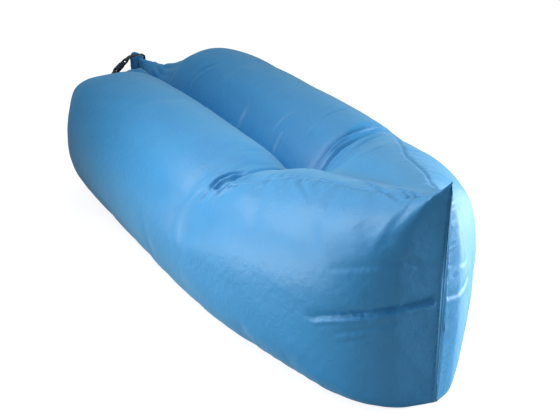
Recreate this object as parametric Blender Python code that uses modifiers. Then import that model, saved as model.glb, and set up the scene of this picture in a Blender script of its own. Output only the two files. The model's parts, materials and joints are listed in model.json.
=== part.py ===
"""An inflatable air lounger: two long air-filled legs side by side that meet in a raised head, with a rolled
mouth at the foot that a side-release buckle holds shut.

Frame: +X runs from foot to head, -Y is the near leg, +Z is up, and the floor is z = 0. Lengths are in metres.
"""

import math
from collections import namedtuple

import bmesh
import bpy
from mathutils import Matrix, Vector

# Overall sizes
LEG_HALF_WIDTH = 0.452
LEG_HEIGHT = 0.454
PEAK_HEIGHT = 0.609
LEG_LENGTH = 0.907
HEAD_LENGTH = 0.676
FOOT_LENGTH = 0.348
SEAM_END_X = 0.387
HEAD_DRIFT_Y = -0.035
FOOT_LEAN = 0.060
FOOT_FLATTENING = 0.022

# Fabric
COVER_THICKNESS = 0.0015
CENTRE_GAP = 0.0012
SEAM_GAP = 0.0012
PANEL_FRONT_ANGLE = math.radians(35)
LINER_INSET = 0.010
LINER_WEB_CLEARANCE = 0.0006
LINER_THICKNESS = 0.0010
LINER_HEAD_STOP = 0.060
LINER_FLOOR_CLEARANCE = 0.005
BUTT_GAP = 0.0009
TOUCH_GAP = 0.0003

# Seam tapes
TAPE_WIDTH = 0.020
TAPE_DROP = 0.003
TAPE_THICKNESS = 0.0008
BINDING_RADIUS = 0.0022
BINDING_STAND_OFF = 0.0003
BINDING_FLOOR_CLEARANCE = 0.004
BINDING_TIP_DROP = 0.006

# Rolled mouth
ROLL_SETBACK = 0.165
ROLL_RADIUS = 0.030
ROLL_CORE_RADIUS = 0.0105
ROLL_TURNS = 3
ROLL_BAND_THICKNESS = 0.0022
ARM_FAR_Y = 0.022
ARM_NEAR_Y = -0.138
ARM_FAR_TOP_Z = 0.340
ARM_NEAR_TOP_Z = 0.254
ROLL_BOTTOM_Z = 0.065
NECK_END_HALF_THICKNESS = 0.0050
NECK_LINER_CLEARANCE = 0.0009
NECK_LINER_THICKNESS = 0.0006
STIFFENER_WIDTH = 0.0164
STIFFENER_THICKNESS = 0.0016
STIFFENER_SPACING = 0.0012
STIFFENER_END_INSET = 0.004

# Webbing
WEBBING_WIDTH = 0.025
WEBBING_THICKNESS = 0.0015
WEBBING_FLANK_LENGTH = 0.075
WEBBING_TAIL_LENGTH = 0.016
WEBBING_BEND_RADIUS = 0.006

# Buckle: its own axes are u from the male to the female half, v across and n out of its face
BUCKLE_TILT = math.radians(39.6)
BUCKLE_CENTRE_Y = -0.049
BUCKLE_CENTRE_Z = 0.307
BUCKLE_HALF_LENGTH = 0.033
BUCKLE_HALF_WIDTH = 0.018
BUCKLE_HALF_HEIGHT = 0.006
BUCKLE_PARTING_U = -0.010
BUCKLE_BAR_RADIUS = 0.0021
BUCKLE_SLOT_LENGTH = 0.007
BUCKLE_SLOT_HALF_WIDTH = 0.0134
BUCKLE_WALL = 0.0020
BUCKLE_SIDE_WALL = 0.0030
BUCKLE_END_WALL = 0.0040
BUCKLE_EDGE_ROUND = 0.0016
FRAME_HALF_HEIGHT = 0.0040
MOULDING_CLEARANCE = 0.0003
GUIDE_HALF_WIDTH = 0.0035
GUIDE_HALF_HEIGHT = 0.0022
GUIDE_REACH = 0.024
ARM_ROOT_V = 0.0088
ARM_BEAM_WIDTH = 0.0024
ARM_HALF_HEIGHT = 0.0032
ARM_REACH = 0.0246
ARM_BARB_START = 0.0132
ARM_BARB_OUT = 0.0167
WINDOW_CLEARANCE = 0.0004
THUMB_OVAL_LENGTH = 0.0095
THUMB_OVAL_WIDTH = 0.0125
THUMB_OVAL_HEIGHT = 0.0012
CURVED_SLOT_RADIUS = 0.0085
CURVED_SLOT_WIDTH = 0.0020
CUT_OVERRUN = 0.004

# A station is a cross-section of one leg. Its place, width, height and lift are shares of the sizes that they
# follow, split is the lobe's centre over its half-breadth, and the two squareness values are superellipse
# exponents. In the head, top is the share of the climb from the leg's height to the peak.
Station = namedtuple("Station", "along width split top lift low_square high_square")

NEAR_FOOT_SHARES = (
    Station(1.00, 0.23, 0.60, 0.75, 0.115, 2.0, 2.0),
    Station(0.82, 0.25, 0.62, 0.72, 0.120, 2.0, 2.0),
    Station(0.72, 0.33, 0.72, 0.71, 0.110, 2.0, 2.0),
    Station(0.67, 0.49, 0.86, 0.74, 0.060, 2.6, 3.2),
    Station(0.58, 0.70, 0.92, 0.785, 0.005, 3.4, 6.0),
    Station(0.48, 0.80, 0.93, 0.845, -0.012, 3.4, 6.0),
    Station(0.30, 0.895, 0.94, 0.915, -0.023, 2.6, 3.4),
    Station(0.00, 0.977, 0.94, 0.973, -0.031, 2.2, 2.2),
)
FAR_FOOT_SHARES = (
    Station(1.00, 0.23, 0.60, 0.75, 0.115, 2.0, 2.0),
    Station(0.92, 0.50, 0.86, 0.77, 0.040, 2.3, 2.0),
    Station(0.82, 0.68, 0.92, 0.82, -0.004, 2.6, 2.0),
    Station(0.64, 0.81, 0.93, 0.89, -0.010, 2.6, 2.0),
    Station(0.40, 0.895, 0.94, 0.96, -0.023, 2.4, 2.0),
    Station(0.00, 0.942, 0.94, 0.983, -0.031, 2.2, 2.0),
)
NEAR_HEAD_SHARES = (
    Station(0.000, 0.962, 0.815, 0.000, -0.031, 2.5, 2.0),
    Station(0.279, 0.880, 0.62, 0.146, -0.027, 3.0, 2.0),
    Station(0.640, 0.710, 0.36, 0.392, -0.023, 3.6, 2.0),
    Station(0.820, 0.570, 0.15, 0.577, -0.019, 4.6, 2.1),
    Station(0.923, 0.425, 0.06, 0.706, -0.011, 5.5, 2.1),
    Station(0.974, 0.290, 0.02, 0.841, -0.006, 6.0, 2.2),
    Station(1.000, 0.010, 0.00, 1.000, 0.0, 4.6, 2.5),
)
FAR_HEAD_SHARES = (
    Station(0.000, 0.942, 0.815, -0.029, -0.031, 2.2, 2.0),
    Station(0.279, 0.865, 0.62, 0.132, -0.027, 2.4, 2.0),
    Station(0.640, 0.625, 0.36, 0.425, -0.023, 3.2, 2.0),
    Station(0.820, 0.388, 0.15, 0.586, -0.019, 5.5, 1.75),
    Station(0.923, 0.238, 0.06, 0.720, -0.011, 8.0, 1.60),
    Station(0.974, 0.142, 0.02, 0.841, -0.006, 8.0, 1.70),
    Station(1.000, 0.010, 0.00, 1.000, 0.0, 8.0, 2.0),
)
PANEL_EDGE_SHARES = ((0.0, 1.0), (0.2, 0.45), (0.45, 0.12), (0.75, 0.16), (1.0, 0.34))
DRIFT_SHARES = ((0.0, 0.0), (0.279, 0.25), (0.640, 0.62), (0.820, 0.88), (0.923, 1.0), (1.0, 1.0))

# Counts
COVER_COLUMNS = 20
COVER_FOOT_ROWS = 9
COVER_LEG_ROWS = 4
COVER_HEAD_ROWS = 9
VALLEY_STEPS = 5
LINER_COLUMNS = 13
LINER_HEAD_ROWS = 5
WEB_STEPS = 2
NECK_STATIONS = 7
ROLL_STEPS_PER_TURN = 11
CAP_STEPS = 3

NEAR = -1
FAR = 1


# Places that follow from the sizes

SHOULDER_X = SEAM_END_X - LEG_LENGTH
STEM_X = SEAM_END_X + HEAD_LENGTH
NECK_X = SHOULDER_X - FOOT_LENGTH
ROLL_X = NECK_X - ROLL_SETBACK
BUCKLE_BAR_U = BUCKLE_HALF_LENGTH - BUCKLE_BAR_RADIUS
ARM_ROOT_U = BUCKLE_PARTING_U + MOULDING_CLEARANCE


def smooth_value(place, places, values):
    """Value at a place on a curve through the stations that never overshoots them."""
    count = len(places)
    slopes = [(values[i + 1] - values[i]) / (places[i + 1] - places[i]) for i in range(count - 1)]
    tangents = [slopes[0]]
    for before, after in zip(slopes, slopes[1:]):
        same_way = before * after > 0
        tangents.append(2 * before * after / (before + after) if same_way else 0.0)
    tangents.append(slopes[-1])
    place = min(max(place, places[0]), places[-1])
    i = max(k for k in range(count - 1) if places[k] <= place)
    step = places[i + 1] - places[i]
    t = (place - places[i]) / step
    start = (1 + 2 * t) * (1 - t) ** 2 * values[i] + t * (1 - t) ** 2 * step * tangents[i]
    return start + t * t * (3 - 2 * t) * values[i + 1] + t * t * (t - 1) * step * tangents[i + 1]


def stations_of(side):
    """All stations of one leg from foot to head, as (x, station) pairs."""
    foot, head = (NEAR_FOOT_SHARES, NEAR_HEAD_SHARES) if side == NEAR else (FAR_FOOT_SHARES, FAR_HEAD_SHARES)
    head = [station._replace(top=1 + station.top * (PEAK_HEIGHT / LEG_HEIGHT - 1)) for station in head]
    full = head[0]._replace(width=foot[-1].width, split=foot[-1].split, low_square=foot[-1].low_square)
    rows = [(SHOULDER_X - station.along * FOOT_LENGTH, station) for station in foot]
    rows.append((SHOULDER_X + LEG_LENGTH / 3, full._replace(width=min(1.0, full.width / 0.977))))
    rows.append((SEAM_END_X - LEG_LENGTH / 4, full._replace(width=min(1.0, full.width / 0.977))))
    return rows + [(SEAM_END_X + station.along * HEAD_LENGTH, station) for station in head]


STATIONS = {side: stations_of(side) for side in (NEAR, FAR)}


def station_at(side, x):
    """The leg's section at x, in metres: half width, split, top, lift and the two squareness values."""
    places = [row[0] for row in STATIONS[side]]
    value = {
        field: smooth_value(x, places, [getattr(row[1], field) for row in STATIONS[side]])
        for field in Station._fields[1:]
    }
    return Station(x, value["width"] * LEG_HALF_WIDTH, value["split"], value["top"] * LEG_HEIGHT,
                   value["lift"] * LEG_HEIGHT, value["low_square"], value["high_square"])


def drift_at(x):
    """How far the head's centre line has moved sideways at x."""
    along = (x - SEAM_END_X) / HEAD_LENGTH
    return HEAD_DRIFT_Y * smooth_value(along, *zip(*DRIFT_SHARES))


def lean_at(x, z):
    """How far the foot end leans back at height z and is drawn in at half height.

    Both fade out along the leg and into the neck.
    """
    along = (SHOULDER_X - x) / FOOT_LENGTH
    if along <= 0 or along >= 1:
        return 0.0
    height = z / LEG_HEIGHT
    drawn_in = FOOT_FLATTENING * 4 * height * (1 - height)
    return math.sin(math.pi * along) ** 2 * (drawn_in - FOOT_LEAN * (height - 1 / 2))


def lobe_point(side, station, angle, inset, least_y, least_z):
    """Point of a lobe's section, with the angle from straight up towards the outer side."""
    breadth = station.width / (1 + station.split)
    centre_y = station.split * breadth
    half_height = (station.top - station.lift) / 2
    centre_z = (station.top + station.lift) / 2
    sine, cosine = math.sin(angle), math.cos(angle)
    power = 1.0
    if sine > 0:
        power = 2 / (station.low_square if cosine < 0 else station.high_square)
    y = centre_y + (breadth - inset) * math.copysign(abs(sine) ** power, sine)
    z = centre_z + (half_height - inset) * math.copysign(abs(cosine) ** power, cosine)
    y, z = max(y, least_y), max(z, least_z)
    return Vector((station.along + lean_at(station.along, z), drift_at(station.along) + side * y, z))


def split_angle(station, inset=0.0):
    """Angle past straight up at which the lobe meets the centre plane."""
    breadth = station.width / (1 + station.split)
    return math.asin(min(1.0, station.split * breadth / max(breadth - inset, inset)))


def spread(start, end, count):
    """Evenly spaced values from start to end, both included."""
    return [start + (end - start) * i / (count - 1) for i in range(count)]


def leg_rows(foot, leg, head, last_x=STEM_X):
    """Places along a leg, closer together where the foot and the head curve most."""
    foot_rows = [SHOULDER_X - FOOT_LENGTH * (1 - (i / foot) ** 1.3) for i in range(foot)]
    leg_part = spread(SHOULDER_X, SEAM_END_X, leg + 1)
    reach = last_x - SEAM_END_X
    head_rows = [SEAM_END_X + reach * (1 - (1 - i / head) ** 1.6) for i in range(1, head + 1)]
    return foot_rows + leg_part + head_rows


# Making objects

COLOURS = {
    "ripstop": ((0.10, 0.38, 0.70, 1.0), 0.42),
    "liner": ((0.80, 0.86, 0.88, 1.0), 0.25),
    "webbing": ((0.035, 0.035, 0.04, 1.0), 0.80),
    "plastic": ((0.02, 0.02, 0.024, 1.0), 0.38),
    "stiffener": ((0.75, 0.76, 0.74, 1.0), 0.45),
}


def material(name):
    """The material of that name, made the first time it is asked for."""
    found = bpy.data.materials.get(name)
    if found:
        return found
    colour, roughness = COLOURS[name]
    made = bpy.data.materials.new(name)
    made.use_nodes = True
    shader = made.node_tree.nodes["Principled BSDF"]
    shader.inputs["Base Color"].default_value = colour
    shader.inputs["Roughness"].default_value = roughness
    shader.inputs["Metallic"].default_value = 0.0
    return made


def add_object(name, mesh, colour, collection, parent=None):
    """A new object in a collection, shaded smooth with its sharp edges kept."""
    obj = bpy.data.objects.new(name, mesh)
    collection.objects.link(obj)
    mesh.materials.append(material(colour))
    mesh.shade_smooth()
    mesh.set_sharp_from_angle(angle=math.radians(40))
    obj.parent = parent
    return obj


def mesh_from(bm, name):
    """A mesh from a bmesh, with its faces turned outwards."""
    bmesh.ops.recalc_face_normals(bm, faces=bm.faces)
    mesh = bpy.data.meshes.new(name)
    bm.to_mesh(mesh)
    bm.free()
    return mesh


def thicken(obj, thickness, offset):
    """Gives an open surface its wall."""
    wall = obj.modifiers.new("wall", "SOLIDIFY")
    wall.thickness = thickness
    wall.offset = offset
    wall.use_even_offset = False


def grid_mesh(name, rows, outward, closed=False, cap_last=False, skip=None):
    """A mesh whose faces join neighbouring rows of points.

    skip(i, j) leaves out a face, and outward is a point that the nearest face must look towards.
    """
    bm = bmesh.new()
    verts = [[bm.verts.new(point) for point in row] for row in rows]
    columns = len(rows[0])
    for i in range(len(rows) - 1):
        for j in range(columns if closed else columns - 1):
            if skip and skip(i, j):
                continue
            k = (j + 1) % columns
            bm.faces.new((verts[i][j], verts[i][k], verts[i + 1][k], verts[i + 1][j]))
    if cap_last:
        bm.faces.new(verts[-1])
    loose = [vert for vert in bm.verts if not vert.link_faces]
    bmesh.ops.delete(bm, geom=loose, context="VERTS")
    bmesh.ops.recalc_face_normals(bm, faces=bm.faces)
    bm.faces.ensure_lookup_table()
    nearest = min(bm.faces, key=lambda face: (face.calc_center_median() - outward).length)
    if nearest.normal.dot(outward - nearest.calc_center_median()) < 0:
        bmesh.ops.reverse_faces(bm, faces=bm.faces)
    mesh = bpy.data.meshes.new(name)
    bm.to_mesh(mesh)
    bm.free()
    return mesh


# Covers, headrest and liners

def edge_angle(x):
    """Angle past straight up at which the headrest panel ends, the same on both legs."""
    return PANEL_FRONT_ANGLE * smooth_value((x - SEAM_END_X) / HEAD_LENGTH, *zip(*PANEL_EDGE_SHARES))


def outer_angles(station, count, inset=0.0):
    """Angles round a lobe from the centre plane at the top to the centre plane underneath, with one where the
    headrest panel ends."""
    start = -split_angle(station, inset)
    edge = edge_angle(station.along)
    return spread(start, edge, VALLEY_STEPS + 1)[:-1] + spread(edge, math.pi - start, count - VALLEY_STEPS)


def edge_shift(station, distance):
    """A distance along the section at the headrest panel's edge, as an angle."""
    breadth = station.width / (1 + station.split)
    half_height = (station.top - station.lift) / 2
    edge = edge_angle(station.along)
    return distance / math.hypot(breadth * math.cos(edge), half_height * math.sin(edge))


def leg_cover(name, side, collection):
    """One leg's fabric: a tube with a flat web at the middle, open over the headrest and at the neck."""
    places = leg_rows(COVER_FOOT_ROWS, COVER_LEG_ROWS, COVER_HEAD_ROWS)
    places[0] += BUTT_GAP
    seam_row = COVER_FOOT_ROWS + COVER_LEG_ROWS
    rows = []
    for i, x in enumerate(places):
        station = station_at(side, x)
        angles = outer_angles(station, COVER_COLUMNS)
        if i > seam_row:
            tip_share = (x - SEAM_END_X) / HEAD_LENGTH
            spacing = SEAM_GAP / 2 + 3 * COVER_THICKNESS * tip_share ** 4
            angles[VALLEY_STEPS] += edge_shift(station, spacing)
        ring = [lobe_point(side, station, angle, 0.0, CENTRE_GAP, 0.0) for angle in angles]
        web = [ring[-1].lerp(ring[0], t) for t in spread(0, 1, WEB_STEPS + 2)[1:-1]]
        rows.append(ring + web)
    web_start = COVER_COLUMNS - 1

    def skip(i, j):
        return i >= seam_row and (j < VALLEY_STEPS or j >= web_start)

    outward = Vector(((SHOULDER_X + SEAM_END_X) / 2, side * LEG_HALF_WIDTH * 2, LEG_HEIGHT / 2))
    mesh = grid_mesh(name, rows, outward, closed=True, skip=skip)
    obj = add_object(name, mesh, "ripstop", collection)
    thicken(obj, COVER_THICKNESS, -1)
    return obj


def headrest_panel(collection):
    """The trough between the two ridges of the head, from the end of the valley seam to the tip."""
    places = leg_rows(COVER_FOOT_ROWS, COVER_LEG_ROWS, COVER_HEAD_ROWS)[COVER_FOOT_ROWS + COVER_LEG_ROWS:]
    places[0] += SEAM_GAP / 2
    places[-1] -= 2 * COVER_THICKNESS
    rows = []
    for x in places:
        halves = []
        for side in (NEAR, FAR):
            station = station_at(side, x)
            edge = edge_angle(x) - edge_shift(station, SEAM_GAP / 2)
            knots = spread(-split_angle(station), edge, VALLEY_STEPS + 1)
            halves.append([lobe_point(side, station, knot, 0.0, 0.0, 0.0) for knot in knots])
        near, far = halves
        rows.append(near[:0:-1] + [near[0].lerp(far[0], 1 / 2)] + far[1:])
    middle = rows[len(rows) // 2][VALLEY_STEPS]
    mesh = grid_mesh("headrest_panel", rows, middle + Vector((0, 0, PEAK_HEIGHT)))
    obj = add_object("headrest_panel", mesh, "ripstop", collection)
    thicken(obj, COVER_THICKNESS, -1)
    return obj


def air_liner(name, side, collection):
    """The airtight film bag inside one leg, closed at the head and open at the mouth."""
    places = leg_rows(COVER_FOOT_ROWS, COVER_LEG_ROWS, LINER_HEAD_ROWS, STEM_X - LINER_HEAD_STOP)[1:]
    floor = COVER_THICKNESS + LINER_FLOOR_CLEARANCE
    middle = CENTRE_GAP + COVER_THICKNESS + LINER_WEB_CLEARANCE
    rows = []
    for x in places:
        station = station_at(side, x)
        angles = outer_angles(station, LINER_COLUMNS, LINER_INSET)
        ring = [lobe_point(side, station, angle, LINER_INSET, middle, floor) for angle in angles]
        web = [ring[-1].lerp(ring[0], t) for t in spread(0, 1, WEB_STEPS + 2)[1:-1]]
        rows.append(ring + web)
    outward = Vector(((SHOULDER_X + SEAM_END_X) / 2, side * LEG_HALF_WIDTH * 2, LEG_HEIGHT / 2))
    mesh = grid_mesh(name, rows, outward, closed=True, cap_last=True)
    obj = add_object(name, mesh, "liner", collection)
    thicken(obj, LINER_THICKNESS, -1)
    return obj


def centre_heights(x, from_below):
    """Heights at which each leg's section meets the centre plane, above or below."""
    heights = []
    for side in (NEAR, FAR):
        station = station_at(side, x)
        angle = math.pi + split_angle(station) if from_below else -split_angle(station)
        heights.append(lobe_point(side, station, angle, 0.0, 0.0, 0.0).z)
    return heights


def web_top(x):
    """Height at which the two legs part above their contact."""
    return min(centre_heights(x, False))


def web_bottom(x):
    """Height at which the two legs part below their contact."""
    return max(centre_heights(x, True))


def valley_seam_tape(collection):
    """The tape that joins the two legs, standing between their webs just under the valley."""
    places = spread(SHOULDER_X, SEAM_END_X, 2 * COVER_LEG_ROWS + 1)
    rows = [[Vector((x, 0, web_top(x) - TAPE_DROP - drop)) for drop in (0.0, TAPE_WIDTH)] for x in places]
    mesh = grid_mesh("valley_seam_tape", rows, Vector((0, FAR, LEG_HEIGHT / 2)))
    obj = add_object("valley_seam_tape", mesh, "webbing", collection)
    thicken(obj, 2 * (CENTRE_GAP - TOUCH_GAP), 0)
    return obj


def under_seam_tape(collection):
    """The tape inside the head, over the seam along the underside."""
    places = leg_rows(COVER_FOOT_ROWS, COVER_LEG_ROWS, COVER_HEAD_ROWS)[COVER_FOOT_ROWS + COVER_LEG_ROWS:-1]
    places[0] += 2 * SEAM_GAP
    rise = COVER_THICKNESS + TOUCH_GAP + TAPE_THICKNESS / 2
    rows = []
    for x in places:
        height = web_bottom(x)
        room = min(station_at(side, x).width for side in (NEAR, FAR)) - 2 * COVER_THICKNESS
        half = min(TAPE_WIDTH / 2, room / 2)
        rows.append([Vector((x, drift_at(x) + way * half, height + rise)) for way in (NEAR, FAR)])
    mesh = grid_mesh("under_seam_tape", rows, rows[0][0] + Vector((0, 0, LEG_HEIGHT)))
    obj = add_object("under_seam_tape", mesh, "webbing", collection)
    thicken(obj, TAPE_THICKNESS, 0)
    return obj


def tube(name, points, radius, colour, collection):
    """A round cord along a list of points, with closed ends, as a mesh."""
    curve = bpy.data.curves.new(name, "CURVE")
    curve.dimensions = "3D"
    curve.bevel_depth = radius
    curve.bevel_resolution = 2
    curve.use_fill_caps = True
    spline = curve.splines.new("POLY")
    spline.points.add(len(points) - 1)
    for knot, point in zip(spline.points, points):
        knot.co = (*point, 1.0)
    obj = bpy.data.objects.new(name, curve)
    collection.objects.link(obj)
    curve.materials.append(material(colour))
    return obj


def stem_seam_binding(collection):
    """The bound edge that runs up the head where the two legs' fabric is sewn together."""
    x = STEM_X + BINDING_RADIUS + BINDING_STAND_OFF
    heights = spread(BINDING_FLOOR_CLEARANCE, PEAK_HEIGHT - BINDING_TIP_DROP, COVER_HEAD_ROWS)
    points = [(x, HEAD_DRIFT_Y, z) for z in heights]
    return tube("stem_seam_binding", points, BINDING_RADIUS, "ripstop", collection)


# Neck, rolled mouth and its stiffeners

def horseshoe(far_y, near_y, far_top, near_top, bottom, arm_points, arc_points):
    """Points and directions of a horseshoe in the YZ plane, from the far top round the bottom."""
    radius = (far_y - near_y) / 2
    centre_y, centre_z = (far_y + near_y) / 2, bottom + radius
    path = [(far_y, z, 0.0, -1.0) for z in spread(far_top, centre_z, arm_points)[:-1]]
    for angle in spread(0, math.pi, arc_points):
        path.append((centre_y + radius * math.cos(angle), centre_z - radius * math.sin(angle),
                     -math.sin(angle), -math.cos(angle)))
    path += [(near_y, z, 0.0, 1.0) for z in spread(centre_z, near_top, arm_points)[1:]]
    return path


def mouth_path(inset=0.0):
    """The roll's centre line."""
    far_top, near_top = ARM_FAR_TOP_Z - inset, ARM_NEAR_TOP_Z - inset
    return horseshoe(ARM_FAR_Y, ARM_NEAR_Y, far_top, near_top, ROLL_BOTTOM_Z, 4, 11)


def swept(name, path, profile, colour, collection):
    """A closed profile of (across, x) pairs swept along a path, with flat ends."""
    rows = []
    for y, z, along_y, along_z in path:
        across = Vector((0, -along_z, along_y))
        rows.append([Vector((ROLL_X, y, z)) + across * a + Vector((b, 0, 0)) for a, b in profile])
    bm = bmesh.new()
    verts = [[bm.verts.new(point) for point in row] for row in rows]
    count = len(profile)
    for i in range(len(rows) - 1):
        for j in range(count):
            k = (j + 1) % count
            bm.faces.new((verts[i][j], verts[i][k], verts[i + 1][k], verts[i + 1][j]))
    bm.faces.new(verts[0])
    bm.faces.new(reversed(verts[-1]))
    return add_object(name, mesh_from(bm, name), colour, collection)


def rolled_mouth(collection):
    """The mouth's hem, rolled up turn on turn and bent into a horseshoe."""
    steps = ROLL_TURNS * ROLL_STEPS_PER_TURN
    half = ROLL_BAND_THICKNESS / 2
    outer_radius = ROLL_RADIUS - half

    def spiral(offset):
        points = []
        for i in range(steps + 1):
            angle = 2 * math.pi * i / ROLL_STEPS_PER_TURN
            radius = ROLL_CORE_RADIUS + (outer_radius - ROLL_CORE_RADIUS) * i / steps + offset
            points.append((radius * math.sin(angle), radius * math.cos(angle)))
        return points

    profile = spiral(half) + spiral(-half)[::-1]
    return swept("rolled_mouth", mouth_path(), profile, "ripstop", collection)


def hem_stiffener(name, shift, collection):
    """A flat plastic strip in the core of the roll."""
    a, b = STIFFENER_THICKNESS / 2, STIFFENER_WIDTH / 2
    profile = [(shift - a, -b), (shift + a, -b), (shift + a, b), (shift - a, b)]
    return swept(name, mouth_path(STIFFENER_END_INSET), profile, "stiffener", collection)


def band_outline(far_y, near_y, far_top, near_top, bottom, half, x):
    """The outline of a thick horseshoe at x: its outer side, a round top, its inner side and a round top."""
    path = horseshoe(far_y, near_y, far_top - half, near_top - half, bottom, 3, 7)
    outer = [Vector((x, y + dz * -half, z + dy * half)) for y, z, dy, dz in path]
    inner = [Vector((x, y - dz * -half, z - dy * half)) for y, z, dy, dz in path]

    def cap(y, z, way):
        turns = spread(0, math.pi, CAP_STEPS + 2)[1:-1]
        return [Vector((x, y + way * half * math.cos(t), z + half * math.sin(t))) for t in turns]

    near_cap = cap(path[-1][0], path[-1][1], -1)
    far_cap = cap(path[0][0], path[0][1], -1)
    return outer + near_cap + inner[::-1] + far_cap


def neck_rows(inset):
    """Outlines of the gathered neck: two ducts that meet underneath and flatten into the roll.

    An inset draws the outlines in, and more so halfway, where the walls slant.
    """
    first = station_at(NEAR, NECK_X)
    start_half = (first.width - CENTRE_GAP) / 2
    start_centre = (first.width + CENTRE_GAP) / 2
    end_x = ROLL_X + ROLL_RADIUS + TOUCH_GAP
    rows = []
    for t in spread(0, 1, NECK_STATIONS):
        ease = t * t * (3 - 2 * t)
        drawn_in = inset * (1 + 4 * t * (1 - t))

        def mix(start, end):
            return start + (end - start) * ease

        rows.append(band_outline(
            mix(start_centre, ARM_FAR_Y), mix(-start_centre, ARM_NEAR_Y),
            mix(first.top, ARM_FAR_TOP_Z) - drawn_in, mix(first.top, ARM_NEAR_TOP_Z) - drawn_in,
            mix(first.lift + start_half, ROLL_BOTTOM_Z), mix(start_half, NECK_END_HALF_THICKNESS) - drawn_in,
            NECK_X + (end_x - NECK_X) * t))
    return rows


def neck_piece(name, inset, thickness, colour, collection):
    """The neck's fabric, or the film inside it."""
    mesh = grid_mesh(name, neck_rows(inset), Vector(((NECK_X + ROLL_X) / 2, 0, -LEG_HEIGHT)), closed=True)
    obj = add_object(name, mesh, colour, collection)
    thicken(obj, thickness, -1)
    return obj


# Buckle and webbing

def buckle_frame():
    """Matrix of the buckle's own axes."""
    along = Vector((0, -math.cos(BUCKLE_TILT), -math.sin(BUCKLE_TILT)))
    across = Vector((1, 0, 0))
    turn = Matrix((along, across, along.cross(across))).transposed().to_4x4()
    return Matrix.Translation((ROLL_X, BUCKLE_CENTRE_Y, BUCKLE_CENTRE_Z)) @ turn


def block(name, low, high):
    """A box between two corners, as a loose mesh."""
    bm = bmesh.new()
    bmesh.ops.create_cube(bm, size=1.0)
    low, high = Vector(low), Vector(high)
    bmesh.ops.scale(bm, vec=high - low, verts=bm.verts)
    bmesh.ops.translate(bm, vec=(low + high) / 2, verts=bm.verts)
    return mesh_from(bm, name)


def extruded(name, outline, low, high):
    """A flat outline of (u, v) points given a thickness from low to high."""
    bm = bmesh.new()
    base = [bm.verts.new((u, v, low)) for u, v in outline]
    face = bm.faces.new(base)
    made = bmesh.ops.extrude_face_region(bm, geom=[face])
    moved = [item for item in made["geom"] if isinstance(item, bmesh.types.BMVert)]
    bmesh.ops.translate(bm, vec=(0, 0, high - low), verts=moved)
    return mesh_from(bm, name)


def round_bar(name, centre_u):
    """The round bar that a strap loops over, long enough to end inside the two ears."""
    bm = bmesh.new()
    length = 2 * (BUCKLE_SLOT_HALF_WIDTH + BUCKLE_EDGE_ROUND)
    bmesh.ops.create_cone(bm, cap_ends=True, segments=16, radius1=BUCKLE_BAR_RADIUS,
                          radius2=BUCKLE_BAR_RADIUS, depth=length)
    bmesh.ops.rotate(bm, cent=(0, 0, 0), matrix=Matrix.Rotation(math.pi / 2, 3, "X"), verts=bm.verts)
    bmesh.ops.translate(bm, vec=(centre_u, 0, 0), verts=bm.verts)
    return mesh_from(bm, name)


def cut_or_join(obj, mesh, operation, helpers):
    """A Boolean of an object with a helper mesh, which stays hidden."""
    tool = bpy.data.objects.new(f"{obj.name}_{operation.lower()}_{len(obj.modifiers)}", mesh)
    helpers.objects.link(tool)
    tool.parent = obj.parent
    tool.hide_render = True
    tool.display_type = "WIRE"
    step = obj.modifiers.new(tool.name, "BOOLEAN")
    step.operation = operation
    step.object = tool


def rounded_outline(points, radius, segments=3):
    """An outline with each corner replaced by a short arc."""
    made = []
    count = len(points)
    for i, point in enumerate(points):
        here = Vector(point)
        back = (Vector(points[i - 1]) - here).normalized()
        ahead = (Vector(points[(i + 1) % count]) - here).normalized()
        for t in spread(0, 1, segments):
            start, end = here + back * radius, here + ahead * radius
            made.append(start.lerp(here, t).lerp(here.lerp(end, t), t))
    return [tuple(point) for point in made]


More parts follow.
